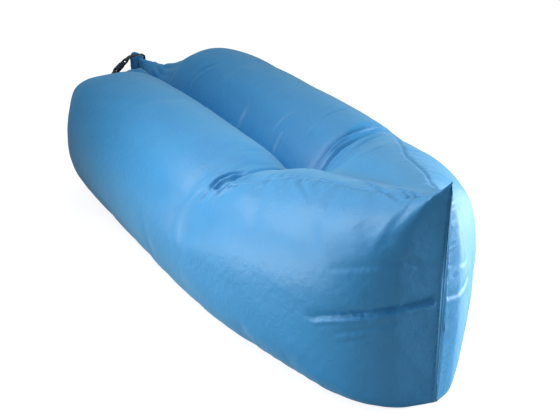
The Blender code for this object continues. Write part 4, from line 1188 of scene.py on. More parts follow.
@dataclass
class LegCover:
    """One leg's fabric, from the neck round the foot end, along the leg and up to the stem seam."""

    side: Side
    form: AirForm
    relief: Relief
    node: str
    leg_rows: int = 160
    tuck_rows: int = 50
    head_rows: int = 222
    tuck_x: float = 0.27
    valley_columns: int = 36
    outer_columns: int = 172
    web_columns: int = 10
    cloth_rows: int = 118
    cloth_columns: int = 64
    tuck_under: float = 6 * MM
    tuck_width: float = 16 * MM
    centre_hold: tuple[float, float] = (4 * MM, 30 * MM)
    floor_hold: tuple[float, float] = (2 * MM, 30 * MM)
    neck_hold: tuple[float, float] = (20 * MM, 80 * MM)
    stem_hold: tuple[float, float] = (50 * MM, 15 * MM)
    edge_hold: float = 30 * MM
    inflation: Inflation = Inflation()

    def base(self) -> tuple[np.ndarray, np.ndarray]:
        """The smooth rings, and how far each point is tucked under the headrest."""
        form = self.form
        leg = form.row_places(form.neck_x, self.tuck_x, self.leg_rows)
        tucks = form.row_places(self.tuck_x, form.seam_end_x, self.tuck_rows)[1:]
        head = form.row_places(form.seam_end_x, form.stem_x, self.head_rows)[1:]
        x = np.concatenate([leg, tucks, head])
        angles = form.ring_angles(self.side, x, self.valley_columns, self.outer_columns)
        rings = form.place(self.side, np.repeat(x[:, None], angles.shape[1], axis=1), angles)
        edge = rings[:, self.valley_columns]
        from_edge = np.linalg.norm(rings - edge[:, None], axis=2)
        from_seam = np.repeat(np.maximum(x - form.seam_end_x, 0.0)[:, None], rings.shape[1], axis=1)
        under = np.minimum(from_edge, from_seam)
        under[:, self.valley_columns:] = 0.0
        tuck = self.tuck_under * smooth_step(under, 0.0, self.tuck_width)
        return rings, tuck

    @cached_property
    def formed(self) -> tuple[np.ndarray, np.ndarray, np.ndarray]:
        """The smooth rings, their outward normals, and the rings with the relief."""
        rings, tuck = self.base()
        normals = outward_normals(rings, closed=False)
        rings = rings - normals * tuck[..., None]
        lifted = self.relief.lifted(self.side, rings.reshape(-1, 3), normals.reshape(-1, 3))
        return rings, normals, lifted.reshape(rings.shape)

    def rows(self) -> np.ndarray:
        """The finished rings, with the relief and the flat web between the legs."""
        smooth, _, rings = self.formed
        rings = rings + self.blown_up(smooth)
        rings = self.relief.cleared(self.side, rings.reshape(-1, 3)).reshape(smooth.shape)
        shares = np.linspace(0.0, 1.0, self.web_columns + 2)[1:-1]
        web = rings[:, -1:, :] + (rings[:, :1, :] - rings[:, -1:, :]) * shares[None, :, None]
        drift = self.form.drift(web[..., 0])
        web[..., 1] = drift + self.side.value * self.form.centre_gap
        return np.concatenate([rings, web], axis=1)

    def blown_up(self, rings: np.ndarray) -> np.ndarray:
        """How far the air moves each point of the smooth rings, from a coarse cloth simulation."""
        form = self.form
        crest = rings.max(axis=1)
        length = arc_lengths(crest)
        rows = np.unique(np.searchsorted(length, np.linspace(0.0, length[-1], self.cloth_rows) - 1e-9))
        columns = np.unique(np.linspace(0, rings.shape[1] - 1, self.cloth_columns).round().astype(int))
        coarse = rings[rows][:, columns]
        centre = np.abs(coarse[..., 1] - form.drift(coarse[..., 0]))
        held = 1 - smooth_step(centre, *self.centre_hold)
        held = np.maximum(held, 1 - smooth_step(coarse[..., 2], *self.floor_hold))
        along = coarse[..., 0]
        held = np.maximum(held, 1 - smooth_step(along - form.neck_x, *self.neck_hold))
        stem_low, stem_high = (form.stem_x - reach for reach in self.stem_hold)
        held = np.maximum(held, smooth_step(along, stem_low, stem_high))
        under_panel = (columns[None, :] <= self.valley_columns) & (along > form.seam_end_x - 0.01)
        held = np.where(under_panel, 1.0, held)
        edge = coarse[:, [int(np.searchsorted(columns, self.valley_columns))]]
        from_edge = np.linalg.norm(coarse - edge, axis=2)
        by_edge = np.where(along > form.seam_end_x, 1 - smooth_step(from_edge, 0.0, self.edge_hold), 0.0)
        held = np.maximum(held, by_edge)
        moves = self.inflation.moves(coarse, held)
        return stretched(moves, rows, columns, rings.shape[:2])

    def build(self) -> bpy.types.Object:
        """Makes the cover and puts it in the solid's place."""
        piece = closed_tube(f"{self.node}_fabric", self.rows(), TAFFETA.material())
        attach(piece, Body.LOUNGER.value)
        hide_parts(self.node)
        return piece


@dataclass
class AirLiner:
    """The airtight film bag inside one leg, a little smaller than the fabric and as full."""

    cover: LegCover
    node: str
    inset: float = 15 * MM
    floor_gap: float = 6.5 * MM
    centre_gap: float = 3.3 * MM
    foot_stop: float = 20 * MM
    head_stop: float = 60 * MM
    keep_each: int = 3

    def build(self) -> bpy.types.Object:
        """Makes the bag from the fabric's own rings, drawn in."""
        form, side = self.cover.form, self.cover.side
        _, normals, lifted = self.cover.formed
        rings = (lifted - normals * self.inset)[:, ::self.keep_each]
        middle = rings[..., 0].mean(axis=1)
        keep = (middle > form.neck_x + self.foot_stop) & (middle < form.stem_x - self.head_stop)
        rings = rings[keep][::self.keep_each]
        drift = form.drift(rings[..., 0])
        rings[..., 1] = drift + side.value * np.maximum(side.value * (rings[..., 1] - drift), self.centre_gap)
        rings[..., 2] = np.maximum(rings[..., 2], self.floor_gap)
        piece = closed_tube(f"{self.node}_film", rings, FILM.material())
        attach(piece, Body.LOUNGER.value)
        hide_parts(self.node)
        return piece


@dataclass
class HeadrestPanel:
    """The fabric over the head, between the two ridges, from its front seam to the tip."""

    form: AirForm
    relief: Relief
    rows_along: int = 170
    half_columns: int = 56
    valley_softening: float = 9.0
    valley_reach: float = 0.10
    thickness: float = 2.0 * MM
    tip_gap: float = 3 * MM

    def half(self, side: Side, x: np.ndarray) -> np.ndarray:
        """The smooth panel over one leg, from the centre plane to the ridge."""
        angles = self.form.ring_angles(side, x, self.half_columns, 4)[:, :self.half_columns + 1]
        return self.form.place(side, np.repeat(x[:, None], angles.shape[1], axis=1), angles)

    def surface(self) -> np.ndarray:
        """The panel's top surface, with its relief, as a grid from the near ridge to the far ridge."""
        x = self.form.row_places(self.form.seam_end_x, self.form.stem_x - self.tip_gap, self.rows_along)
        near, far = self.half(Side.NEAR, x), self.half(Side.FAR, x)
        middle = (near[:, :1] + far[:, :1]) / 2
        grid = np.concatenate([near[:, :0:-1], middle, far[:, 1:]], axis=1)
        soft = blurred(grid, self.valley_softening, axis=1)
        offset = np.abs(grid[..., 1] - self.form.drift(grid[..., 0]))
        blend = np.exp(-(offset / self.valley_reach) ** 2)
        blend *= smooth_step(x, self.form.seam_end_x, self.form.seam_end_x + 0.08)[:, None]
        grid = grid * (1 - blend[..., None]) + soft * blend[..., None]
        normals = upward_normals(grid)
        done = np.empty_like(grid)
        columns = grid.shape[1]
        for side, part in ((Side.NEAR, slice(0, columns // 2)), (Side.FAR, slice(columns // 2, columns))):
            points = grid[:, part].reshape(-1, 3)
            lifted = self.relief.lifted(side, points, normals[:, part].reshape(-1, 3))
            done[:, part] = lifted.reshape(grid[:, part].shape)
        return done

    def build(self) -> bpy.types.Object:
        """Makes the panel as a thin closed sheet in the solid's place."""
        top = self.surface()
        normals = upward_normals(top)
        under = top - normals * self.thickness
        rows = np.concatenate([top, under[:, ::-1]], axis=1)
        piece = closed_band("headrest_panel_fabric", rows, TAFFETA.material())
        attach(piece, Body.LOUNGER.value)
        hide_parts("headrest_panel")
        return piece


@dataclass(frozen=True)
class Horseshoe:
    """An open-topped U in the plane across the lounger, from its far top round the bottom to its near top."""

    far_y: float
    near_y: float
    far_top: float
    near_top: float
    bottom: float

    def path(self, arm_steps: int, arc_steps: int) -> tuple[np.ndarray, np.ndarray]:
        """Points and unit directions along the U, as (y, z) pairs."""
        radius = (self.far_y - self.near_y) / 2
        middle_y, middle_z = (self.far_y + self.near_y) / 2, self.bottom + radius
        far_z = np.linspace(self.far_top, middle_z, arm_steps + 1)[:-1]
        near_z = np.linspace(middle_z, self.near_top, arm_steps + 1)[1:]
        turn = np.linspace(0.0, math.pi, arc_steps + 1)
        far = np.stack([np.full(arm_steps, self.far_y), far_z], axis=1)
        arc = np.stack([middle_y + radius * np.cos(turn), middle_z - radius * np.sin(turn)], axis=1)
        near = np.stack([np.full(arm_steps, self.near_y), near_z], axis=1)
        arc_way = np.stack([-np.sin(turn), -np.cos(turn)], axis=1)
        ways = [np.tile([0.0, -1.0], (arm_steps, 1)), arc_way, np.tile([0.0, 1.0], (arm_steps, 1))]
        return np.concatenate([far, arc, near]), np.concatenate(ways)


@dataclass(frozen=True)
class Closure:
    """Sizes that the neck, the rolled mouth, the straps and the buckle share."""

    roll_x: float = -1.033
    roll_radius: float = 0.030
    core_radius: float = 0.0105
    roll_turns: int = 3
    band_thickness: float = 0.0022
    far_y: float = 0.022
    near_y: float = -0.138
    far_top: float = 0.340
    near_top: float = 0.254
    bottom: float = 0.065
    neck_end_half: float = 0.0050
    touch_gap: float = 0.0003
    buckle_tilt: float = math.radians(39.6)
    buckle_y: float = -0.049
    buckle_z: float = 0.307
    bar_u: float = 0.0309
    bar_radius: float = 0.0021
    webbing_width: float = 0.025
    webbing_thickness: float = 0.0015
    flank_length: float = 0.075
    tail_length: float = 0.016
    bend_radius: float = 0.006

    def mouth(self) -> Horseshoe:
        """The roll's centre line."""
        return Horseshoe(self.far_y, self.near_y, self.far_top, self.near_top, self.bottom)

    def at_buckle(self, along: float, out: float) -> tuple[float, float]:
        """A point in the buckle's own axes, from the plug to the socket and outwards, as (y, z)."""
        cosine, sine = math.cos(self.buckle_tilt), math.sin(self.buckle_tilt)
        return self.buckle_y - cosine * along - sine * out, self.buckle_z - sine * along + cosine * out


@dataclass
class Neck:
    """The gathered neck: two ducts that meet underneath and flatten into the rolled mouth."""

    form: AirForm
    closure: Closure
    rows: int = 64
    arm_steps: int = 20
    arc_steps: int = 44
    cap_steps: int = 12
    pleat_pitch: float = 15 * MM
    pleat_height: float = 3.2 * MM
    film_start: float = 0.02
    film_inset: float = 4.5 * MM

    def outline(self, t: float, inset: float) -> np.ndarray:
        """The neck's outline at a share t of its length."""
        form, end = self.form, self.closure
        first = form.sections(Side.NEAR, np.array([form.neck_x]))
        breadth = first["breadth"][0] + first["centre_y"][0]
        top = first["centre_z"][0] + first["half_height"][0]
        lift = first["centre_z"][0] - first["half_height"][0]
        start_half, start_centre = (breadth - form.centre_gap) / 2, (breadth + form.centre_gap) / 2
        ease = t * t * (3 - 2 * t)
        drawn_in = inset * (1 + 4 * t * (1 - t))
        half = start_half + (end.neck_end_half - start_half) * ease - drawn_in
        shape = Horseshoe(
            start_centre + (end.far_y - start_centre) * ease,
            -start_centre + (end.near_y + start_centre) * ease,
            top + (end.far_top - top) * ease - drawn_in - half,
            top + (end.near_top - top) * ease - drawn_in - half,
            lift + start_half + (end.bottom - lift - start_half) * ease,
        )
        middle, way = shape.path(self.arm_steps, self.arc_steps)
        side = np.stack([-way[:, 1], way[:, 0]], axis=1) * -half
        outer, inner = middle - side, middle + side
        turns = np.linspace(0.0, math.pi, self.cap_steps + 2)[1:-1]
        bulge = np.stack([-half * np.cos(turns), half * np.sin(turns)], axis=1)
        near_cap, far_cap = middle[-1] + bulge, middle[0] + bulge
        return np.concatenate([outer, near_cap, inner[::-1], far_cap])

    def surface(self, first_t: float, inset: float) -> np.ndarray:
        """Rings of the neck from a share of its length to the roll."""
        end_x = self.closure.roll_x + self.closure.roll_radius + self.closure.touch_gap
        rings = []
        for t in np.linspace(first_t, 1.0, self.rows):
            flat = self.outline(t, inset)
            x = self.form.neck_x + (end_x - self.form.neck_x) * t
            rings.append(np.column_stack([np.full(len(flat), x), flat]))
        return np.stack(rings)

    def pleated(self, rings: np.ndarray) -> np.ndarray:
        """Rings with lengthwise pleats that deepen in the middle of the neck."""
        steps = np.linalg.norm(np.roll(rings, -1, axis=1) - rings, axis=2)
        around = np.cumsum(steps, axis=1)
        total = around[:, -1:]
        share = around / total
        pleats = round(total[0, 0] / self.pleat_pitch)
        phase = share * pleats
        wave = np.abs(np.sin(math.pi * (phase + 0.22 * np.sin(2 * math.pi * share * 5)))) ** 0.8 * 2 - 1
        second = np.sin(2 * math.pi * (phase * 0.5 + 0.3 * np.sin(2 * math.pi * share * 3)))
        along = np.linspace(0.0, 1.0, len(rings))[:, None]
        grow = 0.12 + 0.88 * np.sin(math.pi * np.clip(along * 0.9 + 0.05, 0, 1)) ** 0.8
        room = 1 - 0.65 * smooth_step(along, 0.7, 1.0)
        normals = outward_normals(rings, closed=True)
        lift = self.pleat_height * grow * room * (0.7 * wave + 0.3 * second - 0.45)
        return rings + normals * lift[..., None]

    def build(self) -> None:
        """Makes the fabric neck and the film neck inside it."""
        cover = closed_tube("neck_cover_fabric", self.pleated(self.surface(0.0, 0.0)), TAFFETA.material())
        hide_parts("neck_cover")
        film = closed_tube("neck_liner_film", self.surface(self.film_start, self.film_inset), FILM.material())
        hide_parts("neck_liner")
        for piece in (cover, film):
            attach(piece, Body.LOUNGER.value)


@dataclass
class RolledMouth:
    """The mouth's hem, rolled up three turns and bent into a horseshoe."""

    closure: Closure
    arm_steps: int = 60
    arc_steps: int = 90
    steps_a_turn: int = 34
    rumple: float = 1.1 * MM
    ear: float = 11 * MM
    ear_reach: float = 22 * MM
    strap_margin: float = 1.5 * MM

    def spiral(self, offset: float) -> tuple[np.ndarray, np.ndarray]:
        """Radius and turn of the rolled hem's profile."""
        steps = self.closure.roll_turns * self.steps_a_turn
        turn = 2 * math.pi * np.arange(steps + 1) / self.steps_a_turn
        outer = self.closure.roll_radius - self.closure.band_thickness / 2
        radius = self.closure.core_radius + (outer - self.closure.core_radius) * np.arange(steps + 1) / steps
        return radius + offset, turn

    def build(self) -> bpy.types.Object:
        """Makes the roll."""
        middle, way = self.closure.mouth().path(self.arm_steps, self.arc_steps)
        along = arc_lengths(middle)[:, None]
        half = self.closure.band_thickness / 2
        sides = [self.spiral(half), self.spiral(-half)]
        radius = np.concatenate([sides[0][0], sides[1][0][::-1]])[None, :]
        turn = np.concatenate([sides[0][1], sides[1][1][::-1]])[None, :]
        crease = np.sin(along * 120 + 1.3 * turn) + np.sin(along * 61 - 2.1 * turn + 1)
        crease = crease + np.sin(along * 210 + 0.7 * turn)
        crease = crease + 1.4 * np.sin(3 * turn + 4 * np.sin(along * 22))
        radius = radius + self.rumple * crease / 4.4 - self.rumple * 0.6
        across, forward = radius * np.sin(turn), radius * np.cos(turn)
        clear = self.closure.webbing_width / 2 + self.strap_margin
        beside = smooth_step(np.abs(forward), clear, self.closure.roll_radius)
        uneven = 0.65 + 0.35 * np.sin(2.0 * turn + 0.8)
        nearest = np.minimum(along, along[-1] - along)
        ends = np.where(along < along[-1] / 2, -1.0, 1.0) * (1 - smooth_step(nearest, 0.0, self.ear_reach))
        slip = self.ear * beside * uneven * ends
        rows = np.stack([
            self.closure.roll_x + forward,
            middle[:, :1] - way[:, 1:] * across + way[:, :1] * slip,
            middle[:, 1:] + way[:, :1] * across + way[:, 1:] * slip,
        ], axis=-1)
        piece = closed_band("rolled_mouth_fabric", rows, TAFFETA.material())
        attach(piece, Body.LOUNGER.value)
        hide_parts("rolled_mouth")
        return piece


def rounded(corners: list, radius: float, steps: int) -> np.ndarray:
    """A path through corners, each cut by a bend that starts one radius before it."""
    points = [np.asarray(corners[0], float)]
    for before, corner, after in zip(corners, corners[1:], corners[2:]):
        before, corner, after = (np.asarray(p, float) for p in (before, corner, after))
        reach = min(radius, np.linalg.norm(corner - before) / 2, np.linalg.norm(after - corner) / 2)
        start = corner + unit(before - corner) * reach
        end = corner + unit(after - corner) * reach
        for t in np.linspace(0.0, 1.0, steps):
            points.append((1 - t) ** 2 * start + 2 * t * (1 - t) * corner + t * t * end)
    points.append(np.asarray(corners[-1], float))
    return np.array(points)


@dataclass
class Strap:
    """A webbing strap: up the roll's outer flank, over its end, round the buckle's bar and back beneath."""

    side: Side
    closure: Closure
    step: float = 1.2 * MM
    half_columns: int = 14
    edge_round: float = 0.5 * MM

    def path(self) -> np.ndarray:
        """The strap's middle line as (y, z) pairs."""
        end = self.closure
        way = 1 if self.side is Side.NEAR else -1
        flank_y, top = (end.near_y, end.near_top) if self.side is Side.NEAR else (end.far_y, end.far_top)
        half = end.webbing_thickness / 2
        flank = flank_y - way * (end.roll_radius + end.touch_gap + half)
        over = top + end.touch_gap + half
        wrap = end.bar_radius + end.touch_gap + half
        turns = np.linspace(math.pi / 2, -math.pi / 2, 15)
        hairpin = [end.at_buckle(way * (end.bar_u - wrap * math.cos(a)), wrap * math.sin(a)) for a in turns]
        beyond, last = end.bar_u + 2 * end.bar_radius, end.bar_u + end.tail_length
        run = [end.at_buckle(way * last, half + end.touch_gap), end.at_buckle(way * beyond, wrap)]
        tail = [end.at_buckle(way * beyond, -wrap), end.at_buckle(way * last, -half - end.touch_gap)]
        lead = [(flank, top - end.flank_length), (flank, over), (flank_y + way * end.roll_radius, over), *run]
        return np.concatenate([rounded(lead, end.bend_radius, 9), np.array(hairpin + tail)])

    def build(self) -> bpy.types.Object:
        """Makes the strap with its weave laid out in metres."""
        path = self.path()
        length = np.linalg.norm(np.diff(path, axis=0), axis=1).sum()
        path = resampled(path, round(length / self.step))
        along = np.linspace(0.0, length, len(path))
        way = unit(np.gradient(path, axis=0))
        out = np.stack([-way[:, 1], way[:, 0]], axis=1)
        across = np.linspace(-1.0, 1.0, self.half_columns)
        across = np.sign(across) * (1 - (1 - np.abs(across)) ** 1.6)
        half_width, half = self.closure.webbing_width / 2, self.closure.webbing_thickness / 2
        edge = np.clip((half_width - np.abs(across) * half_width) / self.edge_round, 0.0, 1.0)
        height = half * np.sqrt(np.maximum(1 - (1 - edge) ** 2, 0.02))
        place = np.concatenate([across, across[::-1]]) * half_width
        lift = np.concatenate([height, -height[::-1]])
        rows = np.stack([
            np.broadcast_to(self.closure.roll_x + place, (len(path), len(place))),
            path[:, :1] + out[:, :1] * lift,
            path[:, 1:] + out[:, 1:] * lift,
        ], axis=-1)
        name = "near_webbing" if self.side is Side.NEAR else "far_webbing"
        piece = closed_band(f"{name}_strap", rows, WEBBING.material(), weave_uv(place, along))
        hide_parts(name)
        if self.side is Side.NEAR:
            end = self.closure
            bar = (end.roll_x, *end.at_buckle(end.bar_u + end.bar_radius, 0.0))
            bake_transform(piece)
        else:
            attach(piece, Body.LOUNGER.value)
        return piece


@dataclass
class StemSeam:
    """The felled seam up the head's end, where the two legs' fabric is sewn together."""

    form: AirForm
    half_width: float = 5.0 * MM
    proud: float = 0.5 * MM
    first_z: float = 3 * MM
    last_drop: float = 7 * MM
    rows: int = 170
    columns: int = 16
    depth: float = 1.0 * MM
    end_ease: float = 12 * MM
    pucker_length: float = 17 * MM

    def build(self, covers: dict[Side, bpy.types.Object]) -> bpy.types.Object:
        """Makes the seam as a low, rounded strip that hugs both legs' fabric."""
        heights = np.linspace(self.first_z, self.form.peak - self.last_drop, self.rows)
        across = np.linspace(-1.0, 1.0, self.columns)
        ease = np.sqrt(np.clip(np.minimum(heights - heights[0], heights[-1] - heights) / self.end_ease, 0.02, 1.0))
        pucker = 1 + 0.16 * waves(heights / self.pucker_length, 71)
        wide = (self.half_width * ease)[:, None] * across
        points = np.stack([np.full(wide.shape, self.form.stem_x), self.form.head_drift + wide,
                           np.repeat(heights[:, None], self.columns, axis=1)], axis=2)
        top = points.copy()
        half = self.columns // 2
        for side, picked in ((Side.NEAR, slice(0, half)), (Side.FAR, slice(half, self.columns))):
            found = on_fabric(covers[side], points[:, picked].reshape(-1, 3), 0.0)
            top[:, picked] = found.reshape(self.rows, half, 3)
        under = top.copy()
        lift = self.proud * (ease * pucker)[:, None] * (1 - across ** 2)
        top[..., 0] += lift
        under[..., 0] -= self.depth
        rows = np.concatenate([top, under[:, ::-1]], axis=1)
        piece = closed_band("stem_seam_fell", rows, TAFFETA.material())
        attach(piece, Body.LOUNGER.value)
        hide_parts("stem_seam_binding")
        return piece


@dataclass
class SeamTape:
    """The flat tape sewn between the legs: up on its edge along the valley, then flat under the head."""

    form: AirForm
    valley_ends: tuple[float, float] = (-0.520, 0.387)
    under_ends: tuple[float, float] = (0.3893, 1.0429)
    width: float = 20 * MM
    below_web: float = 3 * MM
    thickness: float = 1.0 * MM
    floor_gap: float = 1.8 * MM
    rows: int = 260
    columns: int = 12
    ruffle: float = 0.25 * MM
    ruffle_length: float = 38 * MM

    def strip(self, name: str, middle: np.ndarray, across: np.ndarray, out: np.ndarray) -> None:
        """Makes a tape along a middle line.

        Args:
            name: The CAD node that it stands for.
            middle: Points of the line.
            across: Unit vectors over the tape's width.
            out: Unit vectors out of its face.
        """
        share = np.linspace(-1.0, 1.0, self.columns)
        lengths = arc_lengths(middle)
        wave = self.ruffle * waves(lengths / self.ruffle_length, 81)[:, None]
        height = self.thickness / 2 * (1 - 0.5 * np.abs(share) ** 6)
        rows = []
        for part in (1, -1):
            side = middle[:, None] + across[:, None] * (share * self.width / 2)[None, :, None]
            lift = part * height[None, :] + wave * share[None, :]
            rows.append((side + out[:, None] * lift[..., None])[:, ::part])
        uv = weave_uv(np.concatenate([share, share[::-1]]) * self.width / 2, lengths)
        piece = closed_band(f"{name}_ribbon", np.concatenate(rows, axis=1), WEBBING.material(), uv)
        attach(piece, Body.LOUNGER.value)
        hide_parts(name)
        LOG.info("%s: %.3f m", piece.name, lengths[-1])

    def build(self) -> None:
        """Makes both lengths."""
        x = np.linspace(*self.valley_ends, self.rows)
        size = self.form.sections(Side.NEAR, x)
        top = size["centre_z"] + size["half_height"] * np.sqrt(np.maximum(1 - size["split"] ** 2, 0.0))
        middle = np.stack([x, self.form.drift(x), top - self.below_web - self.width / 2], axis=1)
        flat, up = np.tile([0.0, 1.0, 0.0], (self.rows, 1)), np.tile([0.0, 0.0, 1.0], (self.rows, 1))
        self.strip("valley_seam_tape", middle, up, flat)
        x = np.linspace(*self.under_ends, self.rows)
        size = self.form.sections(Side.NEAR, x)
        low = size["centre_z"] - size["half_height"] * np.sqrt(np.maximum(1 - size["split"] ** 2, 0.0))
        middle = np.stack([x, self.form.drift(x), np.maximum(low, 0.0) + self.floor_gap + self.thickness / 2], axis=1)
        self.strip("under_seam_tape", middle, flat, up)


@dataclass
class Stitching:
    """Rows of thread stitches, set out by geometry nodes along lines on the fabric."""

    spacing: float = 4.2 * MM
    stitch: float = 3.0 * MM
    thread: float = 0.55 * MM

    def tree(self) -> bpy.types.NodeTree:
        """The node group that lays stitches along a line."""
        found = bpy.data.node_groups.get("lay_stitches")
        if found:
            return found
        tree = bpy.data.node_groups.new("lay_stitches", "GeometryNodeTree")
        face = tree.interface
        face.new_socket("Line", in_out="INPUT", socket_type="NodeSocketGeometry")
        for name in ("Spacing", "Stitch length", "Thread radius"):
            face.new_socket(name, in_out="INPUT", socket_type="NodeSocketFloat")
        face.new_socket("Seed", in_out="INPUT", socket_type="NodeSocketInt")
        face.new_socket("Thread", in_out="INPUT", socket_type="NodeSocketMaterial")
        face.new_socket("Stitches", in_out="OUTPUT", socket_type="NodeSocketGeometry")
        given = add_node(tree, "NodeGroupInput").outputs
        curve = add_node(tree, "GeometryNodeMeshToCurve", links={"Mesh": given["Line"]})
        spaced = add_node(tree, "GeometryNodeResampleCurve", {"mode": "LENGTH"},
                          links={"Curve": curve.outputs[0], "Length": given["Spacing"]})
        tangent = add_node(tree, "GeometryNodeInputTangent")
        turn = add_node(tree, "FunctionNodeAlignRotationToVector", {"axis": "Z"},
                        links={"Vector": tangent.outputs[0]})
        uneven = add_node(tree, "FunctionNodeRandomValue", {"data_type": "FLOAT"}, links={"Seed": given["Seed"]})
        uneven.inputs[2].default_value, uneven.inputs[3].default_value = 0.88, 1.06
        thread = add_node(tree, "GeometryNodeMeshUVSphere", values={"Segments": 8, "Rings": 6, "Radius": 0.5})
        wide = add_node(tree, "ShaderNodeMath", {"operation": "MULTIPLY"}, {1: 2.0}, {0: given["Thread radius"]})
        size = add_node(tree, "ShaderNodeCombineXYZ",
                        links={"X": wide.outputs[0], "Y": wide.outputs[0], "Z": given["Stitch length"]})
        scaled = add_node(tree, "ShaderNodeVectorMath", {"operation": "SCALE"},
                          links={0: size.outputs[0], "Scale": uneven.outputs[1]})
        laid = add_node(tree, "GeometryNodeInstanceOnPoints",
                        links={"Points": spaced.outputs[0], "Instance": thread.outputs["Mesh"],
                               "Rotation": turn.outputs[0], "Scale": scaled.outputs[0]})
        real = add_node(tree, "GeometryNodeRealizeInstances", links={"Geometry": laid.outputs[0]})
        dressed = add_node(tree, "GeometryNodeSetMaterial",
                           links={"Geometry": real.outputs[0], "Material": given["Thread"]})
        add_node(tree, "NodeGroupOutput", links={0: dressed.outputs[0]})
        return tree

    def build(self, name: str, lines: list[np.ndarray], finish: Finish, slot: str, seed: int) -> bpy.types.Object:
        """Makes stitches along lines as one plain mesh.

        Args:
            name: The piece's name.
            lines: Each line's points, on the fabric.
            finish: The thread's finish.
            slot: Not used.
            seed: The seed of the stitches' unevenness.

        Returns:
            The piece.
        """
        starts = np.cumsum([0] + [len(line) for line in lines])
        edges = [(int(s) + k, int(s) + k + 1) for s, line in zip(starts, lines) for k in range(len(line) - 1)]
        path = bpy.data.meshes.new("stitch_lines")
        path.from_pydata(np.concatenate(lines).tolist(), edges, [])
        carrier = add_object("stitch_lines", path)
        modifier = carrier.modifiers.new("stitches", "NODES")
        tree = self.tree()
        modifier.node_group = tree
        given = {"Spacing": self.spacing, "Stitch length": self.stitch, "Thread radius": self.thread / 2,
                 "Seed": seed, "Thread": finish.material()}
        for item in tree.interface.items_tree:
            if item.item_type == "SOCKET" and item.in_out == "INPUT" and item.name in given:
                modifier[item.identifier] = given[item.name]
        bpy.context.view_layer.update()
        shape = carrier.evaluated_get(bpy.context.evaluated_depsgraph_get())
        mesh = bpy.data.meshes.new_from_object(shape)
        bpy.data.objects.remove(carrier, do_unlink=True)
        bpy.data.meshes.remove(path)
        mesh.shade_smooth()
        piece = add_object(name, mesh)
        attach(piece, Body.LOUNGER.value)
        LOG.info("%s: %d faces", name, len(mesh.polygons))
        return piece


def on_fabric(piece: bpy.types.Object, points: np.ndarray, gap: float) -> np.ndarray:
    """Points moved to the nearest place on a piece and lifted a little off it."""
    mesh = piece.data
    tree = BVHTree.FromPolygons([v.co[:] for v in mesh.vertices], [p.vertices[:] for p in mesh.polygons])
    placed = []
    for point in points:
        place, normal, _, _ = tree.find_nearest(Vector(point))
        placed.append(np.array(place + normal * gap))
    return np.array(placed)


# The stage


@dataclass(frozen=True)
class Softbox:
    """A large area lamp with a grid that keeps its light to a cone."""

    name: str
    place: tuple[float, float, float]
    aim: tuple[float, float, float]
    width: float
    height: float
    power: float
    spread: float

    def build(self) -> bpy.types.Object:
        """Adds the lamp."""
        light = bpy.data.lights.new(self.name, "AREA")
        light.shape = "RECTANGLE"
        light.size, light.size_y, light.energy = self.width, self.height, self.power
        light.spread = self.spread
        lamp = add_object(self.name, light)
        lamp.location = self.place
        lamp.rotation_euler = (Vector(self.aim) - Vector(self.place)).to_track_quat("-Z", "Y").to_euler()
        return lamp


